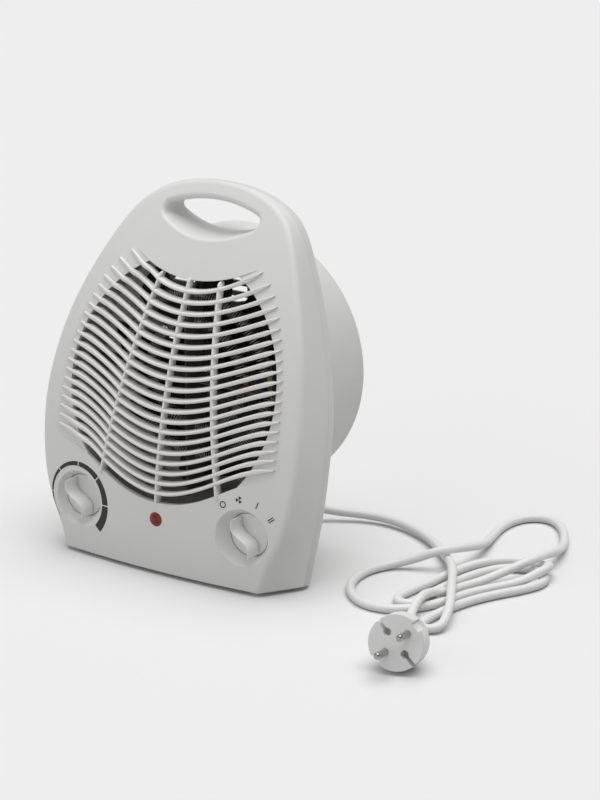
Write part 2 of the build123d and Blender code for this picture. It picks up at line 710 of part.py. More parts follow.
# Motor: two bearing brackets bolted through the core to the rear shell
rear_bar = boss_front - BRACKET_DEEP
core_back = rear_bar - STANDOFF
core_front = core_back - CORE_DEEP
front_bar = core_front - STANDOFF - BRACKET_DEEP
bush_over = (BUSH_LONG - BRACKET_DEEP) / 2
bush_front = front_bar - bush_over
bush_end = boss_front + bush_over
for name, bar, post in (
    ("front_bearing_bracket", front_bar, core_front),
    ("rear_bearing_bracket", rear_bar, rear_bar),
):
    with BuildPart() as bracket:
        with BuildSketch(facing(bar + BRACKET_DEEP, 0, AXIS_Z)):
            SlotCenterToCenter(2 * BOLT_X, 2 * BOSS_R)
        extrude(amount=BRACKET_DEEP)
        with Locations(facing(post, -BOLT_X, AXIS_Z), facing(post, BOLT_X, AXIS_Z)):
            Cylinder(BOSS_R, STANDOFF, align=FROM_PLANE)
        with Locations(facing(bar + BRACKET_DEEP / 2, 0, AXIS_Z)):
            Cylinder(BUSH_R, BUSH_LONG)
            Cylinder(SHAFT_R + RUNNING_FIT, BUSH_LONG, mode=Mode.SUBTRACT)
        with Locations(facing(post, -BOLT_X, AXIS_Z), facing(post, BOLT_X, AXIS_Z)):
            Cylinder(BOLT_HOLE_R, 4 * STANDOFF, mode=Mode.SUBTRACT)
    bracket.part.label = name
    export_step(bracket.part, f"parts/{name}.step")

window_top = AXIS_Z - CORE_SIZE / 2
limb_top = window_top - COIL_WINDOW
limb_middle = limb_top - COIL_LIMB / 2
window_half = CORE_SIZE / 2 - COIL_LIMB
with BuildPart() as motor_core:
    with BuildSketch(facing(core_back)):
        with Locations((0, AXIS_Z + CORE_SIZE / 2)):
            Rectangle(CORE_SIZE, CORE_SIZE + COIL_WINDOW + COIL_LIMB, align=(Align.CENTER, Align.MAX))
        with Locations((0, window_top)):
            Rectangle(2 * window_half, COIL_WINDOW, align=(Align.CENTER, Align.MAX), mode=Mode.SUBTRACT)
        with Locations((0, AXIS_Z)):
            Circle(ROTOR_R + AIR_GAP, mode=Mode.SUBTRACT)
        with Locations((-BOLT_X, AXIS_Z), (BOLT_X, AXIS_Z)):
            Circle(BOLT_HOLE_R, mode=Mode.SUBTRACT)
    extrude(amount=CORE_DEEP)
motor_core.part.label = "motor_core"
export_step(motor_core.part, "parts/motor_core.step")

with BuildPart() as motor_winding:
    with Locations((0, (core_front + core_back) / 2, limb_middle)):
        Box(2 * (window_half - FIT), CORE_DEEP + 2 * WINDING_BUILD, COIL_LIMB + 2 * WINDING_BUILD)
        fillet(motor_winding.edges().filter_by(Axis.X), WINDING_BUILD / 2)
        Box(2 * window_half, CORE_DEEP + 2 * FIT, COIL_LIMB + 2 * FIT, mode=Mode.SUBTRACT)
motor_winding.part.label = "motor_winding"
export_step(motor_winding.part, "parts/motor_winding.step")

with BuildPart() as motor_bolts:
    with Locations(facing(front_bar, -BOLT_X, AXIS_Z), facing(front_bar, BOLT_X, AXIS_Z)):
        Cylinder(BOLT_R, back_inside - front_bar - FIT, align=TO_PLANE)
        Cylinder(BOLT_HEAD_R, BRACKET_DEEP, align=FROM_PLANE)
motor_bolts.part.label = "motor_bolts"
export_step(motor_bolts.part, "parts/motor_bolts.step")


# Turning group: shaft, rotor, fan and its clip
hub_back = bush_front - FAN_CLEAR
hub_front = hub_back - FAN_HUB_LONG
with BuildPart() as motor_shaft:
    with Locations(facing(bush_end, 0, AXIS_Z)):
        Cylinder(SHAFT_R, bush_end - hub_front + 2 * BRACKET_DEEP, align=FROM_PLANE)
motor_shaft.part.label = "motor_shaft"
export_step(motor_shaft.part, "parts/motor_shaft.step")

with BuildPart() as rotor:
    with Locations(facing((core_front + core_back) / 2, 0, AXIS_Z)):
        Cylinder(ROTOR_R, CORE_DEEP)
        Cylinder(SHAFT_R, CORE_DEEP, mode=Mode.SUBTRACT)
rotor.part.label = "rotor"
export_step(rotor.part, "parts/rotor.step")

with BuildPart() as fan_impeller:
    pitch = math.radians(BLADE_PITCH)
    for k in range(FAN_BLADES):
        angle = 2 * math.pi * k / FAN_BLADES
        radial = Vector(math.cos(angle), 0, math.sin(angle))
        round_way = Vector(-math.sin(angle), 0, math.cos(angle))
        chord = round_way * math.cos(pitch) + Vector(0, math.sin(pitch), 0)
        root = Vector(0, (hub_front + hub_back) / 2, AXIS_Z) + radial * FAN_HUB_R / 2
        with BuildSketch(Plane(origin=root, x_dir=chord, z_dir=radial)):
            RectangleRounded(BLADE_ROOT_WIDE, BLADE_THICK, BLADE_THICK / 3)
        with BuildSketch(Plane(origin=root + radial * FAN_R, x_dir=chord, z_dir=radial)):
            RectangleRounded(BLADE_TIP_WIDE, BLADE_THICK, BLADE_THICK / 3)
        loft()
    with Locations(facing((hub_front + hub_back) / 2, 0, AXIS_Z)):
        Cylinder(FAN_R, 4 * FAN_HUB_LONG, mode=Mode.INTERSECT)
        Cylinder(FAN_HUB_R, FAN_HUB_LONG)
        Cylinder(SHAFT_R, 4 * FAN_HUB_LONG, mode=Mode.SUBTRACT)
fan_impeller.part.label = "fan_impeller"
export_step(fan_impeller.part, "parts/fan_impeller.step")

with BuildPart() as fan_clip:
    with Locations(facing(hub_front, 0, AXIS_Z)):
        Cylinder(2 * SHAFT_R, BRACKET_DEEP, align=FROM_PLANE)
        Cylinder(SHAFT_R, BRACKET_DEEP, align=FROM_PLANE, mode=Mode.SUBTRACT)
fan_clip.part.label = "fan_clip"
export_step(fan_clip.part, "parts/fan_clip.step")


# Thermostat and rotary switch: body behind the dish, spindle through its floor, knob in front
spindle_back = control_front + CONTROL_DEEP / 2
knob_back = well_floor - KNOB_GAP
knob_face = knob_back - KNOB_DISC
grip_middle = knob_face - KNOB_GRIP_HIGH / 2


def grip_face(plane, wide):
    """S-shaped strip across the knob, wide across."""
    spine = [(0, KNOB_R), (-KNOB_GRIP_SWAY, KNOB_R / 2), (0, 0), (KNOB_GRIP_SWAY, -KNOB_R / 2), (0, -KNOB_R)]
    left = [(x - wide / 2, 1.1 * y) for x, y in spine]
    right = [(x + wide / 2, 1.1 * y) for x, y in reversed(spine)]
    with BuildSketch(plane) as strip:
        with BuildLine():
            Spline(*left)
            Line(left[-1], right[0])
            Spline(*right)
            Line(right[-1], left[0])
        make_face()
    return strip.sketch


for title, side in (("thermostat", -1), ("switch", 1)):
    x = side * KNOB_X
    lean = math.radians(KNOB_GRIP_ANGLE)
    base = Plane(origin=(x, knob_face, KNOB_Z), x_dir=(math.cos(lean), 0, math.sin(lean)), z_dir=(0, -1, 0))
    with BuildPart() as control_body:
        with Locations(facing(control_front, x, KNOB_Z)):
            Box(CONTROL_SIZE, CONTROL_SIZE, CONTROL_DEEP, align=TO_PLANE)
            fillet(control_body.edges().filter_by(Axis.Y), WALL)
            Cylinder(SPINDLE_HOLE_R, CONTROL_DEEP, mode=Mode.SUBTRACT)
    control_body.part.label = f"{title}_body"
    export_step(control_body.part, f"parts/{title}_body.step")

    with BuildPart() as spindle:
        with Locations(facing(spindle_back, x, KNOB_Z)):
            Cylinder(SPINDLE_R, spindle_back - grip_middle, align=FROM_PLANE)
    spindle.part.label = f"{title}_spindle"
    export_step(spindle.part, f"parts/{title}_spindle.step")

    with BuildPart() as knob:
        loft(sections=[
            grip_face(base, KNOB_GRIP_BASE),
            grip_face(base.offset(KNOB_GRIP_HIGH), KNOB_GRIP_WIDE),
        ])
        crest = knob.faces().sort_by(Axis.Y)[0]
        fillet(crest.edges(), KNOB_GRIP_WIDE / 4)
        with Locations(facing(knob_back, x, KNOB_Z)):
            Cylinder(KNOB_R, 2 * (KNOB_DISC + KNOB_GRIP_HIGH), mode=Mode.INTERSECT)
            Cylinder(KNOB_R, KNOB_DISC, align=FROM_PLANE)
            Cylinder(SPINDLE_R, knob_back - grip_middle, align=FROM_PLANE,
                     mode=Mode.SUBTRACT)
    knob.part.label = f"{title}_knob"
    export_step(knob.part, f"parts/{title}_knob.step")


# Pilot lamp: red lens in the panel and the lamp behind it
stem_back = PANEL_Y_AT_LAMP + 2 * FACE_WALL
crown_r = (LAMP_R**2 + LAMP_PROUD**2) / (2 * LAMP_PROUD)
with BuildPart() as lamp_lens:
    with Locations((0, PANEL_Y_AT_LAMP - LAMP_PROUD + crown_r, LAMP_Z)):
        Sphere(crown_r)
    with Locations(facing(PANEL_Y_AT_LAMP + LAMP_PROUD, 0, LAMP_Z)):
        Cylinder(LAMP_R, crown_r, align=FROM_PLANE, mode=Mode.INTERSECT)
    add(dome(0), mode=Mode.SUBTRACT)
    with Locations(facing(stem_back, 0, LAMP_Z)):
        Cylinder(LAMP_STEM_R, stem_back - PANEL_Y_AT_LAMP + LAMP_PROUD / 4, align=FROM_PLANE)
lamp_lens.part.label = "lamp_lens"
export_step(lamp_lens.part, "parts/lamp_lens.step")

with BuildPart() as pilot_lamp:
    with Locations(facing(stem_back, 0, LAMP_Z)):
        Cylinder(LAMP_STEM_R, LAMP_BODY_LONG, align=TO_PLANE)
    fillet(pilot_lamp.faces().sort_by(Axis.Y)[-1].edges(), LAMP_STEM_R / 2)
pilot_lamp.part.label = "pilot_lamp"
export_step(pilot_lamp.part, "parts/pilot_lamp.step")


# Cord gland in the rear foot, and the clamp over the cord inside it
gland_end = FOOT_BACK + GLAND_OUT
bore_r = CORD_D / 2 + RUNNING_FIT
with BuildPart() as cord_gland:
    with Locations(facing(FOOT_BACK - WALL, GLAND_X, GLAND_Z)):
        Cylinder(GLAND_FLANGE_R, GLAND_FLANGE, align=FROM_PLANE)
        Cylinder(GLAND_NECK_R, WALL, align=TO_PLANE)
    with Locations(facing(FOOT_BACK, GLAND_X, GLAND_Z)):
        Cylinder(GLAND_FLANGE_R, GLAND_FLANGE, align=TO_PLANE)
    with Locations(facing(gland_end, GLAND_X, GLAND_Z)):
        Cone(GLAND_TIP_R, GLAND_NECK_R, GLAND_OUT, align=FROM_PLANE)
        Cylinder(bore_r, 4 * GLAND_OUT, mode=Mode.SUBTRACT)
cord_gland.part.label = "cord_gland"
export_step(cord_gland.part, "parts/cord_gland.step")

with BuildPart() as cord_clamp:
    with BuildSketch(Plane.XY.offset(cord_over)):
        with Locations((GLAND_X, CLAMP_Y)):
            Rectangle(CLAMP_WIDE, CLAMP_LONG)
        with Locations((GLAND_X - CLAMP_SCREW_X, CLAMP_Y), (GLAND_X + CLAMP_SCREW_X, CLAMP_Y)):
            Circle(SCREW_HOLE_R, mode=Mode.SUBTRACT)
    extrude(amount=CLAMP_HIGH)
cord_clamp.part.label = "cord_clamp"
export_step(cord_clamp.part, "parts/cord_clamp.step")

with BuildPart() as clamp_screws:
    with Locations((GLAND_X - CLAMP_SCREW_X, CLAMP_Y, cord_over + CLAMP_HIGH),
                   (GLAND_X + CLAMP_SCREW_X, CLAMP_Y, cord_over + CLAMP_HIGH)):
        Cylinder(SCREW_R, CLAMP_HIGH + CORD_D - FIT, align=TO_PLANE)
        Cylinder(SCREW_HEAD_R, SCREW_HEAD, align=FROM_PLANE)
clamp_screws.part.label = "clamp_screws"
export_step(clamp_screws.part, "parts/clamp_screws.step")


# Leads from the cord's end to the two controls
control_back = control_front + CONTROL_DEEP
turn_y = control_back + CONTROL_DEEP / 2
cord_start = Vector(*CORD_ROUTE[0])
with BuildPart() as lead_wires:
    for side in (-1, 1):
        leave = cord_start + Vector(side * CORD_D / 4, 0, 0)
        reach = Vector(side * (KNOB_X - CONTROL_SIZE / 4), control_back, KNOB_Z - CONTROL_SIZE / 4)
        with BuildLine():
            lead = FilletPolyline(
                leave,
                leave - Vector(0, 2 * CORD_D, 0),
                (side * CONTROL_SIZE, turn_y, (leave.Z + reach.Z) / 2),
                (reach.X, turn_y, reach.Z),
                reach,
                radius=CORD_D,
            )
        with BuildSketch(Plane(origin=lead @ 0, z_dir=lead % 0)):
            Circle(WIRE_R)
        sweep(path=lead)
lead_wires.part.label = "lead_wires"
export_step(lead_wires.part, "parts/lead_wires.step")


# Mains cord: straight runs joined by arcs as large as the runs allow
plug_way = Vector(*PLUG_AXIS).normalized()
plug_back = Vector(*PLUG_FACE) - plug_way * PLUG_LONG
route = [Vector(*p) for p in CORD_ROUTE] + [plug_back - plug_way * PLUG_LEAD, plug_back]
radii = []
for a, b, c in zip(route, route[1:], route[2:]):
    turn = (b - a).get_angle(c - b)
    shorter = min((b - a).length, (c - b).length)
    radii.append(0.45 * shorter / math.tan(math.radians(turn) / 2))
print("cord radii", [round(r, 1) for r in radii])

with BuildPart() as power_cord:
    with BuildLine() as cord_path:
        FilletPolyline(*route, radius=radii)
    cord_line = cord_path.wires()[0]
    with BuildSketch(Plane(origin=cord_line @ 0, z_dir=cord_line % 0)):
        Circle(CORD_D / 2)
    sweep(path=cord_line)
cord_points = [cord_line @ (k / 700) for k in range(701)]
print("cord length", round(cord_line.length, 1))
print("cord least gap", round(least_gap(cord_points, CORD_D, 4 * CORD_D), 2))
print("cord volume", round(power_cord.part.volume), "of", round(math.pi * CORD_D**2 / 4 * cord_line.length))
power_cord.part.label = "power_cord"
export_step(power_cord.part, "parts/power_cord.step")


# Round two-pin plug lying on the floor at the cord's end
flat_way = Vector(0, 0, 1).cross(plug_way).normalized() * -1
roll = math.radians(PLUG_ROLL)
pin_way = flat_way * math.cos(roll) + plug_way.cross(flat_way) * math.sin(roll)
plug_face = Plane(origin=PLUG_FACE, x_dir=pin_way, z_dir=plug_way)
with BuildPart() as plug_body:
    with BuildSketch(Plane(origin=PLUG_FACE, x_dir=pin_way, z_dir=pin_way.cross(plug_way))):
        with BuildLine():
            edge = Polyline((0, 0), (PLUG_R, 0), (PLUG_R, -PLUG_DISC))
            slope = Bezier(edge @ 1, (PLUG_R, -1.6 * PLUG_DISC), (PLUG_TAIL_R, -1.5 * PLUG_DISC),
                           (PLUG_TAIL_R, -PLUG_LONG))
            Polyline(slope @ 1, (0, -PLUG_LONG), (0, 0))
        make_face()
    revolve(axis=Axis(PLUG_FACE, plug_way))
    with BuildSketch(plug_face):
        for side in (-1, 1):
            with Locations((0, side * NOTCH_IN)):
                Circle(NOTCH_R)
            with Locations((0, side * (NOTCH_IN + PLUG_R) / 2)):
                Rectangle(NOTCH_R, PLUG_R - NOTCH_IN + NOTCH_R)
    extrude(amount=-NOTCH_DEEP, mode=Mode.SUBTRACT)
    with BuildSketch(plug_face):
        with Locations((-PLUG_R, 0), (PLUG_R, 0)):
            Rectangle(2 * FLANK_DEEP, FLANK_WIDE)
    extrude(amount=-PLUG_DISC, mode=Mode.SUBTRACT)
    with BuildSketch(plug_face):
        with Locations((-PIN_PITCH / 2, 0), (PIN_PITCH / 2, 0)):
            Circle(PIN_R)
    extrude(amount=-PIN_SEAT, mode=Mode.SUBTRACT)
plug_body.part.label = "plug_body"
export_step(plug_body.part, "parts/plug_body.step")

with BuildPart() as plug_pins:
    with BuildSketch(plug_face.offset(-PIN_SEAT)):
        with Locations((-PIN_PITCH / 2, 0), (PIN_PITCH / 2, 0)):
            Circle(PIN_R)
    extrude(amount=PIN_SEAT + PIN_LONG)
    pin_tips = plug_pins.faces().sort_by(Axis(PLUG_FACE, plug_way))[-2:]
    fillet(pin_tips.edges(), PIN_ROUND)
plug_pins.part.label = "plug_pins"
export_step(plug_pins.part, "parts/plug_pins.step")
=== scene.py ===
"""Looks of an upright fan heater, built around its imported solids."""

import math

import bmesh
import bpy
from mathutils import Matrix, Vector
from mathutils.bvhtree import BVHTree


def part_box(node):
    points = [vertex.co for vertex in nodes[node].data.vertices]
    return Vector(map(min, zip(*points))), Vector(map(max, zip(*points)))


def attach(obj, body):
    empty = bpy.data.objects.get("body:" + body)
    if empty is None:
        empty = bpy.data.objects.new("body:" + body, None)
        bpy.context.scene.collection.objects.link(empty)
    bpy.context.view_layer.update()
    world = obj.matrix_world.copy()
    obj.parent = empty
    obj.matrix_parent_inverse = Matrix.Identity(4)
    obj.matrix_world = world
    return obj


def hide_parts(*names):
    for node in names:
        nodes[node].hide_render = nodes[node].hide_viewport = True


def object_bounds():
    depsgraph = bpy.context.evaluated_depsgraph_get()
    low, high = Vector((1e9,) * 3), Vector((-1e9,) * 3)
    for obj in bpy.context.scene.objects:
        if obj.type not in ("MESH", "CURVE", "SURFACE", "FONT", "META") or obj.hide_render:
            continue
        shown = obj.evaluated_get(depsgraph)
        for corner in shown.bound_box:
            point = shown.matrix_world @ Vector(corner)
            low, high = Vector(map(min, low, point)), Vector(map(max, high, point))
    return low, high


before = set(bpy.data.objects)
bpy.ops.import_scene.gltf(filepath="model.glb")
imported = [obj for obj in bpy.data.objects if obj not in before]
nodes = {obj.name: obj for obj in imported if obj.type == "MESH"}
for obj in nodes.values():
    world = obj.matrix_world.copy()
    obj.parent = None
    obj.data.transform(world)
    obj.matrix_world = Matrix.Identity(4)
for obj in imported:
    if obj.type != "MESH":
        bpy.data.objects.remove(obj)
cad_low, cad_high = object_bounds()

# Front shell: the domed panel, its side walls and half of the carrying slot in one moulding.
# It is injection-moulded white plastic with a fine satin grain from the tool and soft edges,
# and four screws through the rear rim hold it to the rear shell.
SHELL_WHITE = (0.83, 0.83, 0.81, 1)
SHELL_ROUGH = 0.42
SHELL_EDGE = 0.0007
CLOUD_SCALE = 28.0
CLOUD_SHADE = 0.955
CLOUD_ROUGH = 0.12
GRAIN_SCALE = 1400.0
GRAIN_DEPTH = 0.0004


class Value:
    """A node socket in sums: each operator adds one Math node to the socket's tree."""

    def __init__(self, tree, socket):
        self.tree = tree
        self.socket = socket

    def node(self, kind, settings=(), sockets=(), output=0):
        """Adds any other node: its settings first, then what feeds its sockets, a list for many links."""
        made = self.tree.nodes.new(kind)
        for name, value in dict(settings).items():
            setattr(made, name, value)
        for name, value in dict(sockets).items():
            for source in value if isinstance(value, list) else [value]:
                if isinstance(source, Value):
                    self.tree.links.new(source.socket, made.inputs[name])
                else:
                    made.inputs[name].default_value = source
        return Value(self.tree, made.outputs[output])

    def output(self, name):
        """Another output of the node that this value comes from."""
        return Value(self.tree, self.socket.node.outputs[name])

    def maths(self, operation, *others):
        """Adds one Math node with this value as its first term."""
        return self.node("ShaderNodeMath", {"operation": operation}, dict(enumerate((self, *others))))

    def __add__(self, other):
        return self.maths("ADD", other)

    def __sub__(self, other):
        return self.maths("SUBTRACT", other)

    def __rsub__(self, other):
        return self.node("ShaderNodeMath", {"operation": "SUBTRACT"}, {0: other, 1: self})

    def __mul__(self, other):
        return self.maths("MULTIPLY", other)

    def __truediv__(self, other):
        return self.maths("DIVIDE", other)

    def __pow__(self, other):
        return self.maths("POWER", other)

    __radd__ = __add__
    __rmul__ = __mul__


def new_material(name, **sockets):
    """A material with constant sockets set, its shader node and its Object coordinates."""
    material = bpy.data.materials.new(name)
    material.use_nodes = True
    tree = material.node_tree
    shader = tree.nodes["Principled BSDF"]
    for socket, value in sockets.items():
        shader.inputs[socket.replace("_", " ")].default_value = value
    place = Value(tree, tree.nodes.new("ShaderNodeTexCoord").outputs["Object"])
    return material, shader, place


def feed(shader, socket, value):
    """Links a varying value to one socket of a shader."""
    value.tree.links.new(value.socket, shader.inputs[socket])


def noise(place, scale, detail):
    """Soft random values over a surface."""
    return place.node("ShaderNodeTexNoise", {}, {"Vector": place, "Scale": scale, "Detail": detail})


def tinted(blend, none, full):
    """Colour between two tones, by how much of the second there is."""
    return blend.node("ShaderNodeMix", {"data_type": "RGBA"}, {0: blend, 6: none, 7: full}, 2)


def moulded(name, colour, rough, edge, grain=0.04):
    """Moulded plastic: faint clouding, a satin grain from the tool and rounded edges."""
    material, shader, place = new_material(name)
    clouds = noise(place, CLOUD_SCALE, 4.0)
    sparks = noise(place, GRAIN_SCALE, 2.0)
    shade = tuple(CLOUD_SHADE * c for c in colour[:3]) + (1,)
    rounded = place.node("ShaderNodeBevel", {"samples": 6}, {"Radius": edge})
    raised = {"Strength": grain, "Distance": GRAIN_DEPTH, "Height": sparks, "Normal": rounded}
    grained = place.node("ShaderNodeBump", {}, raised)
    feed(shader, "Base Color", tinted(clouds, shade, colour))
    feed(shader, "Roughness", rough - CLOUD_ROUGH / 2 + clouds * CLOUD_ROUGH)
    feed(shader, "Normal", grained)
    return material


def dress(material, *names):
    """Gives CAD nodes their finish."""
    for name in names:
        slots = nodes[name].data.materials
        slots.clear()
        slots.append(material)


shell_white = moulded("shell_white", SHELL_WHITE, SHELL_ROUGH, SHELL_EDGE)
dress(shell_white, "front_shell")

# Rear shell: the rim behind the seam, the drum with its slotted back and the rear foot.
# It is moulded in the same white plastic, from a tool with a slightly duller grain.
DRUM_WHITE = (0.82, 0.82, 0.80, 1)
DRUM_ROUGH = 0.48
drum_white = moulded("drum_white", DRUM_WHITE, DRUM_ROUGH, SHELL_EDGE, grain=0.06)
dress(drum_white, "rear_shell")

# Grille: ribs that sag in the middle and run out to points, tied by three slim bars.
# It is moulded in white plastic, stands a little proud of the panel and seats on its sunk field; its white
# is set lighter than the shell's, as painted light that the ribs catch.
# Lighter than the shell's white: painted light on the ribs.
RIB_WHITE_LIT = (0.91, 0.90, 0.875, 1)
RIB_ROUGH = 0.38
RIB_EDGE = 0.0004
RIB_COUNT = 20
RIB_STEPS = 72
RIB_SIDES = 16
RIB_SIZES = {
    "Top edge": 0.2016,
    "Bottom edge": 0.0530,
    "Rib height": 0.0027,
    "Rib depth": 0.0055,
    "Rib proud": 0.0020,
    "Top rise": 0.0185,
    "Bottom rise": 0.0322,
    "Wave": 0.85,
    "Rib scoop": 0.0035,
    "Rib swell": 0.5,
    "Point share": 0.14,
    "Bar width": 0.0022,
    "Bar setback": -0.0016,
    "Bar top x": 0.0242,
    "Bar bottom x": 0.0495,
}
BAR_TOP = 0.2045
BAR_BOTTOM_SIDE = 0.0625
BAR_BOTTOM_MIDDLE = 0.0515
BAR_COUNT = 3
ROUNDNESS = 0.62
SCOOP_SPAN = 0.045
SPAN_LEAST = 0.004
POINT_POWER = 0.72
SEAM_MERGE = 0.000002
# The sunk field that the ribs seat on, with its half width at shares of its height
FIELD_LOW = 0.084
FIELD_HIGH = 0.217
FIELD_WIDE = 0.092
FIELD_SHARES = [
    (0, 1), (0.158, 1), (0.346, 0.989), (0.552, 0.937), (0.756, 0.842), (0.905, 0.716), (1, 0.533)
]
FIELD_DEEP = 0.004
FIELD_LEAST = 0.0002
FIELD_MID = 0.0242
FIELD_HALF = 0.1227
# The round opening in the field, and the lean and bulge of the panel that the ribs follow
OPENING_RADIUS = 0.085
OPENING_BLEND = 0.006
FAN_HEIGHT = 0.1318
LEAN = math.radians(11.31)
HEAD_Y = -0.0085
HEAD_Z = 0.0916
HEAD_DEPTH = 0.0441
BULGE_UP = 0.385
BULGE_SIDE = 0.744
BULGE_ROUNDS = 3


def panel_bulge(x, z):
    """Depth of the bulged panel at x and z, and how far up the leaning panel that is."""
    up = (z - HEAD_Z) / math.cos(LEAN)
    for _ in range(BULGE_ROUNDS):
        ring = (BULGE_UP**2 - up * up).maths("SQRT") + (BULGE_SIDE - BULGE_UP)
        bulge = (ring * ring - x * x).maths("SQRT") - (BULGE_SIDE - HEAD_DEPTH)
        up = (z - HEAD_Z - bulge * math.sin(LEAN)) / math.cos(LEAN)
    return HEAD_Y - bulge * math.cos(LEAN) + up * math.sin(LEAN), up


def new_tree(name, sizes):
    """The values of a new geometry tree's named inputs, one for each size."""
    tree = bpy.data.node_groups.new(name, "GeometryNodeTree")
    tree.interface.new_socket("Geometry", in_out="OUTPUT", socket_type="NodeSocketGeometry")
    for size, value in sizes.items():
        socket = tree.interface.new_socket(size, in_out="INPUT", socket_type="NodeSocketFloat")
        socket.default_value = value
    entry = tree.nodes.new("NodeGroupInput")
    return {size: Value(tree, entry.outputs[size]) for size in sizes}


def rows_of(value, count, steps, sides):
    """Counted flat strips in a value's tree, and their points' fields: the strip's number, the place
    along it from -1 to 1 and the turn round it."""
    number = value.node("GeometryNodeInputIndex")
    dots = value.node("GeometryNodePoints", {}, {"Count": count})
    dots = value.node(
        "GeometryNodeStoreNamedAttribute", {"data_type": "FLOAT", "domain": "POINT"},
        {"Geometry": dots, "Name": "row", "Value": number},
    )
    strip = value.node(
        "GeometryNodeMeshGrid", {},
        {"Size X": 2.0, "Size Y": 2 * math.pi, "Vertices X": steps + 1, "Vertices Y": sides + 1},
    )
    strips = value.node("GeometryNodeInstanceOnPoints", {}, {"Points": dots, "Instance": strip})
    strips = value.node("GeometryNodeRealizeInstances", {}, {"Geometry": strips})
    row = value.node("GeometryNodeInputNamedAttribute", {"data_type": "FLOAT"}, {"Name": "row"})
    place = value.node("GeometryNodeInputPosition")
    along = value.node("ShaderNodeSeparateXYZ", {}, {0: place})
    return strips, row, along, along.output("Y")


def squared(turn, operation):
    """Sine or cosine of a turn, drawn out towards a rounded rectangle."""
    wave = turn.maths(operation)
    return wave.maths("SIGN") * wave.maths("ABSOLUTE") ** ROUNDNESS


def pointed(along, share):
    """Scale of a strip's section that falls to nothing over a share of its length at both ends."""
    ends = (1 - along.maths("ABSOLUTE")) / share
    return (ends.maths("MAXIMUM", 0.0) ** POINT_POWER).maths("MINIMUM", 1.0)


def moved_to(strips, x, y, z):
    """The strips with their points at new places, and their seams closed."""
    place = x.node("ShaderNodeCombineXYZ", {}, {0: x, 1: y, 2: z})
    strips = x.node("GeometryNodeSetPosition", {}, {"Geometry": strips, "Position": place})
    return x.node("GeometryNodeMergeByDistance", {}, {"Geometry": strips, "Distance": SEAM_MERGE})


def realized(name, shape, material, sizes):
    """Ends a shape's tree, runs it on a new object and leaves that object a plain mesh."""
    tree = shape.tree
    smooth = shape.node("GeometryNodeSetShadeSmooth", {}, {"Geometry": shape})
    whole = shape.node("GeometryNodeRealizeInstances", {}, {"Geometry": smooth})
    coated = shape.node("GeometryNodeSetMaterial", {}, {"Geometry": whole, "Material": material})
    leave = tree.nodes.new("NodeGroupOutput")
    tree.links.new(coated.socket, leave.inputs["Geometry"])
    piece = bpy.data.objects.new(name, bpy.data.meshes.new(name))
    bpy.context.scene.collection.objects.link(piece)
    maker = piece.modifiers.new(name, "NODES")
    maker.node_group = tree
    for socket in tree.interface.items_tree:
        if socket.in_out == "INPUT":
            maker[socket.identifier] = sizes[socket.name]
    bpy.context.view_layer.update()
    made = piece.evaluated_get(bpy.context.evaluated_depsgraph_get())
    mesh = bpy.data.meshes.new_from_object(made)
    piece.modifiers.remove(maker)
    piece.data = mesh
    mesh.name = name
    shaped = bmesh.new()
    shaped.from_mesh(mesh)
    bmesh.ops.recalc_face_normals(shaped, faces=shaped.faces)
    shaped.to_mesh(mesh)
    shaped.free()
    return piece


# The ribs' white carries painted light, lighter than the shell's plastic.
rib_white_lit = moulded("rib_white_lit", RIB_WHITE_LIT, RIB_ROUGH, RIB_EDGE, grain=0.02)
size = new_tree("grille_ribs", RIB_SIZES)
ribs, row, along, turn = rows_of(size["Wave"], RIB_COUNT, RIB_STEPS, RIB_SIDES)
share = (row + 1) / (RIB_COUNT + 1)
middle = size["Top edge"] + (size["Bottom edge"] - size["Top edge"]) * share
rise = size["Top rise"] + (size["Bottom rise"] - size["Top rise"]) * share
wave = size["Wave"] * share
tip_share = (middle + rise - FIELD_LOW) / (FIELD_HIGH - FIELD_LOW)
field = share.node("ShaderNodeFloatCurve", {}, {"Value": tip_share})
side_line = field.socket.node.mapping
for spot, (at, wide) in zip(side_line.curves[0].points, (FIELD_SHARES[0], FIELD_SHARES[-1])):
    spot.location = (at, wide)
for at, wide in FIELD_SHARES[1:-1]:
    side_line.curves[0].points.new(at, wide)
side_line.update()
x = along * field * FIELD_WIDE
sag = (1 - wave) * along * along + wave * (1 - (along * math.pi).maths("COSINE")) / 2
z = middle + rise * sag
front, up = panel_bulge(x, z)
sideways = x / FIELD_WIDE
upward = (up - FIELD_MID) / FIELD_HALF
sink = (FIELD_DEEP * (1 - sideways * sideways - upward * upward)).maths("MAXIMUM", FIELD_LEAST)
from_axis = (x * x + (z - FAN_HEIGHT) * (z - FAN_HEIGHT)).maths("SQRT")
inside = x.node(
    "ShaderNodeMapRange", {"interpolation_type": "SMOOTHSTEP"},
    {"Value": from_axis, "From Min": OPENING_RADIUS, "From Max": OPENING_RADIUS - OPENING_BLEND},
)
aside = x.maths("ABSOLUTE")
down = (BAR_TOP - z) / (BAR_TOP - BAR_BOTTOM_SIDE)
bar = size["Bar top x"] + (size["Bar bottom x"] - size["Bar top x"]) * down
edge = (OPENING_RADIUS**2 - (z - FAN_HEIGHT) * (z - FAN_HEIGHT)).maths("MAXIMUM", 0.0).maths("SQRT")
span = (edge - bar).maths("MAXIMUM", SPAN_LEAST)
to_edge = (aside - bar) / span
hollow = 4 * (to_edge * (1 - to_edge)).maths("MAXIMUM", 0.0)
scoop = size["Rib scoop"] * hollow * (span / SCOOP_SPAN).maths("MINIMUM", 1.0) * inside
deep = size["Rib proud"] + sink + (size["Rib depth"] - sink) * inside - scoop
taper = pointed(along, size["Point share"])
high = size["Rib height"] / 2 * taper * (1 + size["Rib swell"] * along * along)
y = front + scoop - size["Rib proud"] + deep * (1 - squared(turn, "COSINE")) / 2
ribs = moved_to(ribs, x, y, z + high * squared(turn, "SINE"))

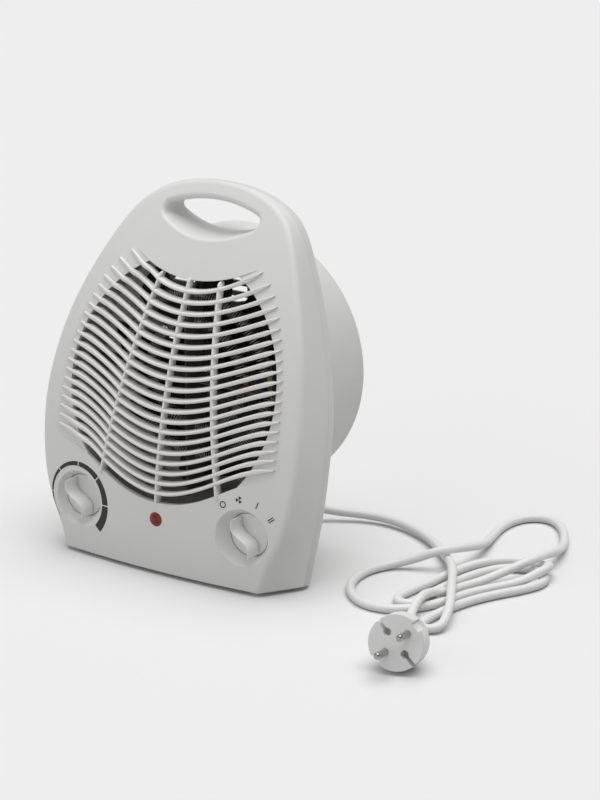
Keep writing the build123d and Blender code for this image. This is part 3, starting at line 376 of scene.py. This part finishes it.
bars, row, along, turn = rows_of(size["Wave"], BAR_COUNT, RIB_STEPS, RIB_SIDES)
down = (along + 1) / 2
side = row - BAR_COUNT // 2
outer = side.maths("ABSOLUTE")
bottom = BAR_BOTTOM_MIDDLE + (BAR_BOTTOM_SIDE - BAR_BOTTOM_MIDDLE) * outer
z = BAR_TOP + (bottom - BAR_TOP) * down
closed = pointed(along, 2 / RIB_STEPS)
x = side * (size["Bar top x"] + (size["Bar bottom x"] - size["Bar top x"]) * down)
front, _ = panel_bulge(x, z)
bar_deep = size["Rib depth"] - size["Bar setback"]
y = front + size["Bar setback"] + bar_deep * (1 - closed * squared(turn, "COSINE")) / 2
bars = moved_to(bars, x + closed * size["Bar width"] / 2 * squared(turn, "SINE"), y, z)
both = ribs.node("GeometryNodeJoinGeometry", {}, {"Geometry": [ribs, bars]})
grille = realized("grille_ribs", both, rib_white_lit, RIB_SIZES)
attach(grille, "housing")
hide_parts("front_grille")

# Mica tunnel and the two crossed boards that carry the coils: pressed sheets of mica flakes
# in a heat-proof binder, grey-brown with a dull sparkle. The boards are slotted into each other,
# and the tunnel round them is paler.
BOARD_DARK = (0.09, 0.078, 0.066, 1)
BOARD_PALE = (0.22, 0.19, 0.165, 1)
TUNNEL_DARK = (0.34, 0.31, 0.285, 1)
TUNNEL_PALE = (0.60, 0.56, 0.52, 1)
FLAKE_SCALE = 420.0
FLAKE_SHARE = 0.3
FLAKE_DEPTH = 0.0003
STAIN_SCALE = 60.0
STAIN_SHARE = 0.7
STAIN_ROUGH = 0.4


def pressed_mica(name, dark, pale):
    """Sheet of pressed flakes in two tones, with a dull sparkle."""
    material, shader, place = new_material(name, Specular_IOR_Level=0.4)
    spread = {"Vector": place, "Scale": FLAKE_SCALE, "Randomness": 1.0}
    flakes = place.node("ShaderNodeTexVoronoi", {"feature": "F1"}, spread)
    stains = noise(place, STAIN_SCALE, 5.0)
    blend = stains * STAIN_SHARE + flakes * FLAKE_SHARE
    raised = {"Strength": 0.3, "Distance": FLAKE_DEPTH, "Height": flakes}
    feed(shader, "Base Color", tinted(blend, dark, pale))
    feed(shader, "Roughness", 0.35 + stains * STAIN_ROUGH)
    feed(shader, "Normal", place.node("ShaderNodeBump", {}, raised))
    return material


board_mica = pressed_mica("board_mica", BOARD_DARK, BOARD_PALE)
tunnel_mica = pressed_mica("tunnel_mica", TUNNEL_DARK, TUNNEL_PALE)
dress(board_mica, "mica_board_level", "mica_board_upright")
dress(tunnel_mica, "mica_tunnel")

# Heating coils: bare resistance wire curled tightly and wound round two rings on the boards.
# The wire is drawn chromium alloy, silvery where new and browned by heat.
WIRE_SILVER = (0.62, 0.60, 0.57, 1)
WIRE_BROWN = (0.33, 0.27, 0.22, 1)
COIL_PITCH = 0.0019
CURL_STEPS = 14
WIRE_SIDES = 6
RING_RADII = {"inner_heating_coil": 0.038, "outer_heating_coil": 0.058}
CURL_SIZES = {"Curl radius": 0.0045, "Wire radius": 0.0004}
COIL_DEPTH = -0.008
COIL_GAP = math.radians(8.0)
COIL_SPAN = 2 * math.pi - 2 * COIL_GAP
PATCH_ROUGH = 0.16
LINE_FINENESS = 12
LINE_DEPTH = 0.0002


def drawn_metal(name, bright, dull, rough, scale):
    """Bare metal with patches of a duller tone and fine lines of drawing or grinding."""
    material, shader, place = new_material(name, Metallic=1.0)
    patches = noise(place, scale, 4.0)
    lines = noise(place, LINE_FINENESS * scale, 2.0)
    raised = {"Strength": 0.08, "Distance": LINE_DEPTH, "Height": lines}
    feed(shader, "Base Color", tinted(patches, dull, bright))
    feed(shader, "Roughness", rough - PATCH_ROUGH / 2 + patches * PATCH_ROUGH)
    feed(shader, "Normal", place.node("ShaderNodeBump", {}, raised))
    return material


coil_wire = drawn_metal("coil_wire", WIRE_SILVER, WIRE_BROWN, rough=0.35, scale=90.0)
for node, radius in RING_RADII.items():
    sizes = {"Ring radius": radius, **CURL_SIZES}
    size = new_tree(node + "_wire", sizes)
    curls = round(COIL_SPAN * radius / COIL_PITCH)
    line = size["Ring radius"].node("GeometryNodeCurvePrimitiveLine")
    line = line.node("GeometryNodeResampleCurve", {}, {"Curve": line, "Count": curls * CURL_STEPS + 1})
    share = line.node("GeometryNodeInputIndex") / (curls * CURL_STEPS)
    angle = COIL_GAP + COIL_SPAN * share
    phase = share * (2 * math.pi * curls)
    reach = size["Ring radius"] + size["Curl radius"] * phase.maths("COSINE")
    curled = line.node(
        "ShaderNodeCombineXYZ", {},
        {
            0: reach * angle.maths("COSINE"),
            1: COIL_DEPTH + size["Curl radius"] * phase.maths("SINE"),
            2: FAN_HEIGHT + reach * angle.maths("SINE"),
        },
    )
    line = line.node("GeometryNodeSetPosition", {}, {"Geometry": line, "Position": curled})
    round_wire = {"Resolution": WIRE_SIDES, "Radius": size["Wire radius"]}
    ring = line.node("GeometryNodeCurvePrimitiveCircle", {}, round_wire)
    drawn = {"Curve": line, "Profile Curve": ring, "Fill Caps": True}
    wire = line.node("GeometryNodeCurveToMesh", {}, drawn)
    coil = realized(node + "_wire", wire, coil_wire, sizes)
    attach(coil, "housing")
    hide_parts(node)

# Terminals and thermal cut-out: stamped brass tabs on the level board at the coils' ends, and a small
# crimped aluminium can that opens the circuit when the boards get too hot.
BRASS_BRIGHT = (0.42, 0.33, 0.17, 1)
BRASS_DULL = (0.22, 0.16, 0.08, 1)
CAN_BRIGHT = (0.78, 0.78, 0.78, 1)
CAN_DULL = (0.55, 0.55, 0.55, 1)
brass = drawn_metal("terminal_brass", BRASS_BRIGHT, BRASS_DULL, rough=0.45, scale=300.0)
can = drawn_metal("cutout_can", CAN_BRIGHT, CAN_DULL, rough=0.35, scale=300.0)
dress(brass, "coil_terminals")
dress(can, "thermal_cutout")

# Motor: a laminated steel core with one wound limb, two bearing brackets and two long bolts.
# The steel is dull grey, the winding is lacquered copper, and the brackets are zinc-plated.
CORE_GREY = (0.34, 0.34, 0.35, 1)
CORE_DULL = (0.2, 0.19, 0.18, 1)
ZINC_BRIGHT = (0.66, 0.67, 0.66, 1)
ZINC_DULL = (0.5, 0.5, 0.46, 1)
COPPER_BRIGHT = (0.72, 0.34, 0.16, 1)
COPPER_DULL = (0.4, 0.16, 0.07, 1)
SHAFT_BRIGHT = (0.7, 0.7, 0.7, 1)
SHAFT_DULL = (0.55, 0.55, 0.55, 1)
core_steel = drawn_metal("core_steel", CORE_GREY, CORE_DULL, rough=0.5, scale=120.0)
zinc = drawn_metal("zinc_plate", ZINC_BRIGHT, ZINC_DULL, rough=0.32, scale=80.0)
copper = drawn_metal("winding_copper", COPPER_BRIGHT, COPPER_DULL, rough=0.32, scale=400.0)
ground_steel = drawn_metal("ground_steel", SHAFT_BRIGHT, SHAFT_DULL, rough=0.22, scale=200.0)
dress(core_steel, "motor_core", "rotor")
dress(zinc, "front_bearing_bracket", "rear_bearing_bracket", "motor_bolts")
dress(copper, "motor_winding")
dress(ground_steel, "motor_shaft", "fan_clip")

# Fan: an impeller with eight broad blades, moulded in black heat-proof plastic.
# It is pushed on the motor shaft, where a clip holds it.
FAN_BLACK = (0.018, 0.018, 0.019, 1)
fan_black = moulded("fan_black", FAN_BLACK, rough=0.4, edge=0.0005, grain=0.05)
dress(fan_black, "fan_impeller")

# Thermostat and rotary switch: closed bodies of dark heat-proof resin behind the panel's dishes.
# The clamp that grips the cord inside the rear foot is moulded in the same resin.
RESIN = (0.05, 0.045, 0.042, 1)
resin = moulded("dark_resin", RESIN, rough=0.5, edge=0.0005, grain=0.1)
dress(resin, "thermostat_body", "switch_body", "cord_clamp")

# Knobs: round white caps with a slim S-shaped grip across them, moulded in the casing's plastic.
# Each is pushed on its spindle and turns in its dish, just clear of the dish's floor.
KNOB_WHITE = (0.86, 0.86, 0.845, 1)
KNOB_SIZES = {
    "Cap radius": 0.0150,
    "Cap thickness": 0.0024,
    "Grip height": 0.0120,
    "Grip base": 0.0056,
    "Grip crest": 0.0024,
    "Grip half length": 0.0146,
    "Grip sway": 0.0032,
}
CAP_RIM = 0.8
CAP_SIDES = 48
CAP_RINGS = 8
GRIP_TURN = math.radians(27.0)
GRIP_STEPS = 48
GRIP_SIDES = 24
GRIP_FLANK = 0.5
CREASE = math.radians(35.0)
DIALS = {"thermostat": "thermostat_dial", "switch": "switch_dial"}


def box_middle(name):
    """Middle of a solid's box."""
    low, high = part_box(name)
    return (low + high) / 2


def domed(radius, height, rim):
    """Round cap on its plane, flat underneath and curved above, its rim at a share of its height."""
    faces = {"Vertices": CAP_SIDES, "Side Segments": 1, "Fill Segments": CAP_RINGS}
    blank = radius.node(
        "GeometryNodeMeshCylinder", {"fill_type": "TRIANGLE_FAN"}, {**faces, "Radius": radius, "Depth": 1.0}
    )
    across = radius.node("ShaderNodeSeparateXYZ", {}, {0: radius.node("GeometryNodeInputPosition")})
    upright = across.output("Y")
    above = across.output("Z").maths("GREATER_THAN", 0.0)
    out = (across * across + upright * upright) / (radius * radius)
    crown = rim + (1 - rim) * (1 - out).maths("MAXIMUM", 0.0).maths("SQRT")
    spot = radius.node("ShaderNodeCombineXYZ", {}, {0: across, 1: upright, 2: above * crown * height})
    return radius.node("GeometryNodeSetPosition", {}, {"Geometry": blank, "Position": spot})


def creased(shape):
    """The shape with its sharp edges kept sharp under smooth shading."""
    steep = shape.node("GeometryNodeInputMeshEdgeAngle").maths("GREATER_THAN", CREASE)
    return shape.node(
        "GeometryNodeSetShadeSmooth", {"domain": "EDGE"},
        {"Geometry": shape, "Selection": steep, "Shade Smooth": False},
    )


knob_white = moulded("knob_white", KNOB_WHITE, rough=0.36, edge=0.0006, grain=0.02)
for title, body in DIALS.items():
    node = title + "_knob"
    low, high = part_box(node)
    centre = box_middle(node)
    size = new_tree(node + "_cap", KNOB_SIZES)
    cap = domed(size["Cap radius"], size["Cap thickness"], CAP_RIM)
    cap = cap.node(
        "GeometryNodeTransform", {},
        {"Geometry": cap, "Translation": (centre.x, high.y, centre.z), "Rotation": (math.pi / 2, 0, 0)},
    )
    grip, _, along, turn = rows_of(size["Grip height"], 1, GRIP_STEPS, GRIP_SIDES)
    closed = pointed(along, 2 / GRIP_STEPS)
    lift = (1 - squared(turn, "COSINE")) / 2
    half = (size["Grip base"] + (size["Grip crest"] - size["Grip base"]) * lift ** GRIP_FLANK) / 2
    aside = closed * half * squared(turn, "SINE") - size["Grip sway"] * (along * math.pi).maths("SINE")
    length = along * size["Grip half length"]
    x = aside * math.cos(GRIP_TURN) - length * math.sin(GRIP_TURN) + centre.x
    y = low.y + size["Grip height"] * (0.5 - closed * (lift - 0.5))
    z = aside * math.sin(GRIP_TURN) + length * math.cos(GRIP_TURN) + centre.z
    grip = moved_to(grip, x, y, z)
    knob = cap.node("GeometryNodeMeshBoolean", {"operation": "UNION"}, {"Mesh 2": [cap, grip]})
    knob = realized(node + "_cap", creased(knob), knob_white, KNOB_SIZES)
    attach(knob, body)
    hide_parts(node)

# Spindles: round shafts of the dark resin, each from its control's body through the dish's floor.
# They turn with the knobs and stop inside the caps, so nothing of them shows beside the slim grips.
SPINDLE_SIZES = {"Spindle radius": 0.0030, "Depth in cap": 0.0016}
SPINDLE_SIDES = 32
for title, body in DIALS.items():
    node = title + "_spindle"
    centre = box_middle(node)
    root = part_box(node)[1].y
    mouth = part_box(title + "_knob")[1].y
    size = new_tree(title + "_shaft", SPINDLE_SIZES)
    length = size["Depth in cap"] + (root - mouth)
    rod = {"Vertices": SPINDLE_SIDES, "Radius": size["Spindle radius"], "Depth": length}
    shaft = length.node("GeometryNodeMeshCylinder", {}, rod)
    spot = length.node("ShaderNodeCombineXYZ", {}, {0: centre.x, 1: root - length / 2, 2: centre.z})
    shaft = length.node(
        "GeometryNodeTransform", {},
        {"Geometry": shaft, "Translation": spot, "Rotation": (math.pi / 2, 0, 0)},
    )
    shaft = realized(title + "_shaft", creased(shaft), resin, SPINDLE_SIZES)
    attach(shaft, body)
    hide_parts(node)

# Pilot lamp: a dark red lens of clear-dyed plastic, domed and polished, over a small neon lamp.
# Its moulded rings show as a darker band round a lighter middle, and that lighter middle is a painted
# highlight.
LENS_RED = (0.34, 0.006, 0.006, 1)
LENS_DEEP = (0.05, 0.001, 0.001, 1)
LENS_RADIUS = 0.0052
LENS_WAVES = 1.25
WAVE_MEAN = 0.55
WAVE_DEPTH = 0.35
HAZE_SCALE = 260.0
LAMP_GLASS = (0.7, 0.5, 0.4, 1)


def dyed_lens(name):
    """Clear-dyed plastic with rings about the lens's axis, and a lighter middle that is a painted
    highlight.
    """
    material, shader, place = new_material(
        name, Specular_IOR_Level=0.3, Coat_Weight=0.3, Coat_Roughness=0.05, Roughness=0.2
    )
    middle = box_middle("lamp_lens")
    axes = place.node("ShaderNodeSeparateXYZ", {}, {0: place})
    across = axes - middle.x
    upward = axes.output("Z") - middle.z
    out = (across * across + upward * upward).maths("SQRT") / LENS_RADIUS
    # Darker band for the moulded rings; the lighter middle between them is a painted highlight.
    ring = (out * (2 * math.pi * LENS_WAVES)).maths("COSINE") * WAVE_DEPTH + WAVE_MEAN
    haze = noise(place, HAZE_SCALE, 2.0)
    feed(shader, "Base Color", tinted(ring * haze * 2.0, LENS_DEEP, LENS_RED))
    return material


lens_red = dyed_lens("lens_red")
dress(lens_red, "lamp_lens")
lamp_glass = moulded("lamp_glass", LAMP_GLASS, rough=0.15, edge=0.0003, grain=0.01)
dress(lamp_glass, "pilot_lamp")

# Printed marks: a dark grey wedge scale round the thermostat dial, and the signs for off,
# fan, low and high heat round the switch dial, all pad-printed on the panel.
INK_GREY = (0.014, 0.014, 0.014, 1)
INK_LIFT = 0.00006
INK_THICK = 0.0001
SCALE_IN = 0.0232
SCALE_THIN = 0.0003
SCALE_THICK = 0.0060
SCALE_SWEEP = 270.0
SCALE_PARTS = 6
SCALE_GAP = 2.2
SCALE_STEP = 1.5
SCALE_ROWS = 2
SIGN_RADIUS = 0.0265
SIGN_HALF = 0.0024
SIGN_STROKE = 0.0007
SIGN_STEPS = 24
BLADE_STARTS = (0, 120, 240)
BLADE_SWEEP = 62
BLADE_ROOT = 0.15
STROKES_APART = 1.1
SIGN_ANGLES = {"off": -38.0, "fan": -9.0, "low": 22.0, "high": 52.0}

ink = moulded("printed_ink", INK_GREY, rough=0.5, edge=0.0001, grain=0.03)
shell_mesh = nodes["front_shell"].data
shell_points = [v.co for v in shell_mesh.vertices]
panel = BVHTree.FromPolygons(shell_points, [p.vertices for p in shell_mesh.polygons])
dial = box_middle("thermostat_knob")
switch = box_middle("switch_knob")


def on_panel(x, z):
    """Point just above the panel's surface, seen from the front at x and z."""
    hit = panel.ray_cast(Vector((x, cad_low.y, z)), Vector((0, 1, 0)))[0]
    return Vector((x, hit.y - INK_LIFT, z))


def round_dial(angle, radius):
    """Place on the panel at a clock angle in degrees and a radius about the thermostat dial."""
    turn = math.radians(angle)
    return on_panel(dial.x + radius * math.sin(turn), dial.z + radius * math.cos(turn))


def printed(name, strips):
    """One printed mark made of strips, each a list of rows of points laid on the panel."""
    mesh = bmesh.new()
    for rows in strips:
        laid = [[mesh.verts.new(p) for p in row] for row in rows]
        for first, second in zip(laid, laid[1:]):
            for a, b, c, d in zip(first, first[1:], second[1:], second):
                mesh.faces.new((a, b, c, d))
    bmesh.ops.recalc_face_normals(mesh, faces=mesh.faces)
    for face in mesh.faces:
        if face.normal.y > 0:
            face.normal_flip()
    data = bpy.data.meshes.new(name)
    mesh.to_mesh(data)
    mesh.free()
    data.materials.append(ink)
    mark = bpy.data.objects.new(name, data)
    bpy.context.scene.collection.objects.link(mark)
    skin = mark.modifiers.new("ink_thickness", "SOLIDIFY")
    skin.thickness = INK_THICK
    skin.offset = 1.0
    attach(mark, "housing")


def scale_part(start, stop):
    """Rows across one part of the wedge scale, from one clock angle to another."""
    steps = max(2, round((stop - start) / SCALE_STEP))
    rows = []
    for k in range(steps + 1):
        angle = start + (stop - start) * k / steps
        wide = SCALE_THIN + (SCALE_THICK - SCALE_THIN) * (angle + SCALE_SWEEP / 2) / SCALE_SWEEP
        radii = [SCALE_IN + wide * j / SCALE_ROWS for j in range(SCALE_ROWS + 1)]
        rows.append([round_dial(angle, radius) for radius in radii])
    return rows


wedge = []
for k in range(SCALE_PARTS):
    start = SCALE_SWEEP * (k / SCALE_PARTS - 0.5)
    stop = SCALE_SWEEP * ((k + 1) / SCALE_PARTS - 0.5)
    wedge.append(scale_part(start + SCALE_GAP / 2, stop - SCALE_GAP / 2))
printed("thermostat_scale", wedge)


def sign_place(angle, across, out):
    """Place on the panel, across and outward from a sign's centre in its own turned frame."""
    turn = math.radians(angle)
    x = switch.x + (SIGN_RADIUS + out) * math.sin(turn) + across * math.cos(turn)
    z = switch.z + (SIGN_RADIUS + out) * math.cos(turn) - across * math.sin(turn)
    return on_panel(x, z)


def ring_sign(angle, inner, outer, start, stop):
    """Rows of a ring, or of part of one, about a sign's centre."""
    rows = []
    for k in range(SIGN_STEPS + 1):
        turn = math.radians(start + (stop - start) * k / SIGN_STEPS)
        rows.append([sign_place(angle, r * math.sin(turn), r * math.cos(turn)) for r in (inner, outer)])
    return rows


def bar_sign(angle, across):
    """Rows of one upright stroke."""
    sides = (across - SIGN_STROKE / 2, across + SIGN_STROKE / 2)
    return [[sign_place(angle, a, out) for a in sides] for out in (-SIGN_HALF, 0, SIGN_HALF)]


printed("switch_off_sign", [ring_sign(SIGN_ANGLES["off"], SIGN_HALF - SIGN_STROKE, SIGN_HALF, 0, 360)])
blades = [
    ring_sign(SIGN_ANGLES["fan"], BLADE_ROOT * SIGN_HALF, SIGN_HALF, start, start + BLADE_SWEEP)
    for start in BLADE_STARTS
]
printed("switch_fan_sign", blades)
printed("switch_low_sign", [bar_sign(SIGN_ANGLES["low"], 0)])
strokes = [bar_sign(SIGN_ANGLES["high"], side * STROKES_APART * SIGN_STROKE) for side in (-1, 1)]
printed("switch_high_sign", strokes)

# Feet: four pads of soft pale rubber, two under the front and two under the rear foot.
# They are stuck to the underside of the casing and keep it from sliding.
FOOT_GREY = (0.62, 0.62, 0.6, 1)
foot_grey = moulded("foot_rubber", FOOT_GREY, rough=0.6, edge=0.0006, grain=0.15)
dress(foot_grey, "feet")

# Screws: zinc-plated steel with domed heads and cross recesses, four through the rear rim and two
# in the cord clamp. The four are driven from behind into posts of the front shell.
SCREW_SIZES = {
    "Head radius": 0.0036,
    "Head height": 0.0020,
    "Recess long": 0.0042,
    "Recess wide": 0.0010,
    "Recess deep": 0.0012,
    "Shank radius": 0.0017,
    "Shank long": 0.0230,
}
# The lower and the upper pair of the four: sideways, and up along the leaning rim
SCREW_LOW = (0.092, -0.062)
SCREW_HIGH = (0.070, 0.117)
SCREW_SPIN = 37.0
SCREW_COUNT = 4
HEAD_RIM = 0.5
SHANK_SIDES = 20
RIM_DEPTH = 0.011

dress(zinc, "clamp_screws")
size = new_tree("rim_screws", SCREW_SIZES)
head = domed(size["Head radius"], size["Head height"], HEAD_RIM)
deep = 2 * size["Recess deep"]
top = head.node("ShaderNodeCombineXYZ", {}, {2: size["Head height"]})
for long, wide in (("Recess long", "Recess wide"), ("Recess wide", "Recess long")):
    block = head.node("ShaderNodeCombineXYZ", {}, {0: size[long], 1: size[wide], 2: deep})
    cutter = head.node("GeometryNodeMeshCube", {}, {"Size": block})
    cutter = head.node("GeometryNodeTransform", {}, {"Geometry": cutter, "Translation": top})
    head = head.node(
        "GeometryNodeMeshBoolean", {"operation": "DIFFERENCE"}, {"Mesh 1": head, "Mesh 2": cutter}
    )
rod = {"Vertices": SHANK_SIDES, "Radius": size["Shank radius"], "Depth": size["Shank long"]}
shank = head.node("GeometryNodeMeshCylinder", {}, rod)
inward = head.node("ShaderNodeCombineXYZ", {}, {2: size["Shank long"] / -2})
shank = head.node("GeometryNodeTransform", {}, {"Geometry": shank, "Translation": inward})
screw = creased(head.node("GeometryNodeJoinGeometry", {}, {"Geometry": [head, shank]}))
number = screw.node("GeometryNodeInputIndex")
side = number.maths("MODULO", 2.0) * 2 - 1
pair = (number / 2).maths("FLOOR")
x = side * (SCREW_LOW[0] + (SCREW_HIGH[0] - SCREW_LOW[0]) * pair)
up = SCREW_LOW[1] + (SCREW_HIGH[1] - SCREW_LOW[1]) * pair
seat = screw.node(
    "ShaderNodeCombineXYZ", {},
    {
        0: x,
        1: up * math.sin(LEAN) + HEAD_Y + RIM_DEPTH * math.cos(LEAN),
        2: up * math.cos(LEAN) + HEAD_Z - RIM_DEPTH * math.sin(LEAN),
    },
)
dots = screw.node("GeometryNodePoints", {}, {"Count": SCREW_COUNT, "Position": seat})
screws = screw.node(
    "GeometryNodeInstanceOnPoints", {},
    {"Points": dots, "Instance": screw, "Rotation": (-math.pi / 2 - LEAN, 0, 0)},
)
spun = screw.node("ShaderNodeCombineXYZ", {}, {2: number * math.radians(SCREW_SPIN)})
screws = screw.node(
    "GeometryNodeRotateInstances", {}, {"Instances": screws, "Rotation": spun, "Local Space": True}
)
rim_screws = realized("rim_screws", screws, zinc, SCREW_SIZES)
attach(rim_screws, "housing")
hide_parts("casing_screws")

# Cord gland and leads: a soft white sleeve that keeps the cord from kinking at the rear foot,
# and the insulated leads inside.
SLEEVE_WHITE = (0.80, 0.80, 0.79, 1)
LEAD_BLUE = (0.04, 0.08, 0.22, 1)
sleeve = moulded("sleeve_white", SLEEVE_WHITE, rough=0.5, edge=0.0006, grain=0.1)
dress(sleeve, "cord_gland")
lead_blue = moulded("lead_insulation", LEAD_BLUE, rough=0.45, edge=0.0002, grain=0.05)
dress(lead_blue, "lead_wires")

# Plug: a round two-pin plug of pale plastic, moulded on the end of the cord.
# Its pins are nickel-plated and stand out of its face.
PLUG_PALE = (0.87, 0.87, 0.865, 1)
NICKEL_BRIGHT = (0.46, 0.45, 0.43, 1)
NICKEL_DULL = (0.3, 0.29, 0.275, 1)
plug_pale = moulded("plug_plastic", PLUG_PALE, rough=0.4, edge=0.0007)
nickel = drawn_metal("pin_nickel", NICKEL_BRIGHT, NICKEL_DULL, rough=0.2, scale=200.0)
dress(plug_pale, "plug_body")
dress(nickel, "plug_pins")

# Mains cord: round flexible cable in a white jacket, about one and a half metres long. It leaves the
# rear foot, lies on the floor in loose folds with two bights over them, and ends in the plug.
CORD_DIAMETER = 0.0062
CORD_ROUTE = [
    (20, 28, 20), (20, 52, 20), (20, 67, 20), (24, 81, 15), (33, 91, 10), (46, 99.5, 7.2),
    (62, 108, 5.8), (80, 111.5, 5.2), (100, 108, 5), (120, 99, 5), (137, 87, 5.1),
    (151, 73.5, 5.6), (162.5, 61, 8), (173, 48, 11), (184, 31, 10.6),
    (193, 14, 10.4), (203, -3, 10.2), (211, -19, 8.5), (217, -38, 4.5), (208.5, -44.5, 3.2),
    (200, -38.5, 3.2), (200.5, -20, 3.2), (203, -2, 3.2), (208, 17, 3.2), (217, 36, 3.2),
    (228, 54, 3.2), (233, 70, 3.2), (227, 84, 3.2), (212, 88, 3.2), (197, 81, 3.2),
    (187.5, 65, 3.2), (182.5, 45, 3.2), (179.5, 24, 3.2), (178.5, 4, 3.2), (179.5, -9.5, 3.2),
    (171.2, -15, 3.2), (163, -9, 3.2), (164.5, 10, 3.2), (168.5, 32, 3.2), (171, 54, 3.2),
    (176, 76, 3.2), (187, 92, 3.2), (203, 99, 3.2), (218.5, 97, 3.7), (229, 87, 9.9),
    (229.5, 73, 10.2), (220, 59, 4.5), (208, 43, 3.2), (199.5, 26, 3.2), (195.5, 9, 3.2),
    (189.5, -7, 3.2), (180, -21, 3.2), (167, -29.5, 3.2), (151, -30, 3.2), (136.5, -21.5, 3.2),
    (125.5, -8, 3.2), (120, 9, 3.2), (121, 27, 3.2), (129, 42, 3.6), (142, 50, 7.6),
    (155, 56, 14), (165, 65.5, 15.4), (169, 82, 12.4), (166, 105, 6), (158.5, 128, 3.2),
    (154.5, 148, 3.2), (156, 165, 3.2), (163.5, 177, 3.2), (176, 180.5, 3.2), (189, 173, 3.2),
    (201, 157, 3.2), (211, 137, 3.8), (218, 116, 8.5), (219, 97, 12.4), (214, 79, 11.6),
    (205, 63.5, 7.4), (197, 48, 4), (190, 33, 3.3), (186.5, 17, 3.6), (185, 2, 9.2),
    (185.5, -12, 11.2), (188, -27, 7.4), (194, -41, 4), (201.5, -53, 3.6), (214.7, -67.2, 10.35),
    (216.8, -74.7, 12.2),
]
MILLIMETRE = 0.001
CORD_WHITE = (0.88, 0.88, 0.875, 1)
CORD_SMOOTH = 6

route_line = bpy.data.curves.new("power_cord_white", "CURVE")
route_line.dimensions = "3D"
spline = route_line.splines.new("NURBS")
spline.points.add(len(CORD_ROUTE) - 1)
for point, place in zip(spline.points, CORD_ROUTE):
    point.co = [MILLIMETRE * c for c in place] + [1]
spline.order_u = 3
spline.use_endpoint_u = True
spline.resolution_u = CORD_SMOOTH
route_line.bevel_depth = CORD_DIAMETER / 2
route_line.bevel_resolution = CORD_SMOOTH
route_line.use_fill_caps = True
jacket = moulded("cord_jacket", CORD_WHITE, rough=0.45, edge=0.0004, grain=0.05)
route_line.materials.append(jacket)
power_cord = bpy.data.objects.new("power_cord_white", route_line)
bpy.context.scene.collection.objects.link(power_cord)
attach(power_cord, "housing")
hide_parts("power_cord")

# Stage: a plain pale floor, a soft overhead key, a weaker fill from the front left, a pale surround
# and the camera where the photographer stood.
FLOOR_SIZE = 150.0
FLOOR_PALE = (0.855, 0.855, 0.855, 1)
FLOOR_BOUNCE = (0.46, 0.46, 0.46, 1)
KEY_STRENGTH = 1.95
KEY_ANGLE = 60.0
KEY_FROM = Vector((0.06, 0.08, 1.0))
FILL_STRENGTH = 0.65
FILL_ANGLE = 90.0
FILL_FROM = Vector((-0.6, -1.0, 0.25))
SURROUND = 0.32
CAMERA_AT = Vector((1.14031, -1.57676, 0.75616))
CAMERA_TO = Vector((0.12795, -0.0718, 0.15449))
CAMERA_LENS = 132.92

floor_mesh = bmesh.new()
bmesh.ops.create_grid(floor_mesh, x_segments=1, y_segments=1, size=FLOOR_SIZE / 2)
floor_data = bpy.data.meshes.new("floor")
floor_mesh.to_mesh(floor_data)
floor_mesh.free()
floor = bpy.data.objects.new("floor", floor_data)
bpy.context.scene.collection.objects.link(floor)
floor_pale, floor_shader, place = new_material("floor_pale", Roughness=0.9, Specular_IOR_Level=0.0)
rays = place.node("ShaderNodeLightPath")
straight = [rays.output(f"Is {way} Ray") for way in ("Camera", "Glossy", "Transmission")]
seen = straight[0].maths("MAXIMUM", straight[1]).maths("MAXIMUM", straight[2])
feed(floor_shader, "Base Color", tinted(seen, FLOOR_BOUNCE, FLOOR_PALE))
floor_data.materials.append(floor_pale)

for name, strength, angle, source in (
    ("overhead_key", KEY_STRENGTH, KEY_ANGLE, KEY_FROM),
    ("front_fill", FILL_STRENGTH, FILL_ANGLE, FILL_FROM),
):
    light = bpy.data.lights.new(name, "SUN")
    light.energy = strength
    light.angle = math.radians(angle)
    lamp = bpy.data.objects.new(name, light)
    lamp.rotation_euler = source.to_track_quat("Z", "Y").to_euler()
    bpy.context.scene.collection.objects.link(lamp)

world = bpy.data.worlds.new("surround")
world.use_nodes = True
world.node_tree.nodes["Background"].inputs["Color"].default_value = (1, 1, 1, 1)
world.node_tree.nodes["Background"].inputs["Strength"].default_value = SURROUND
bpy.context.scene.world = world

camera_data = bpy.data.cameras.new("camera")
camera_data.lens = CAMERA_LENS
camera = bpy.data.objects.new("camera", camera_data)
camera.location = CAMERA_AT
camera.rotation_euler = (CAMERA_TO - CAMERA_AT).to_track_quat("-Z", "Y").to_euler()
bpy.context.scene.collection.objects.link(camera)
bpy.context.scene.camera = camera
bpy.context.scene.view_settings.view_transform = "Standard"
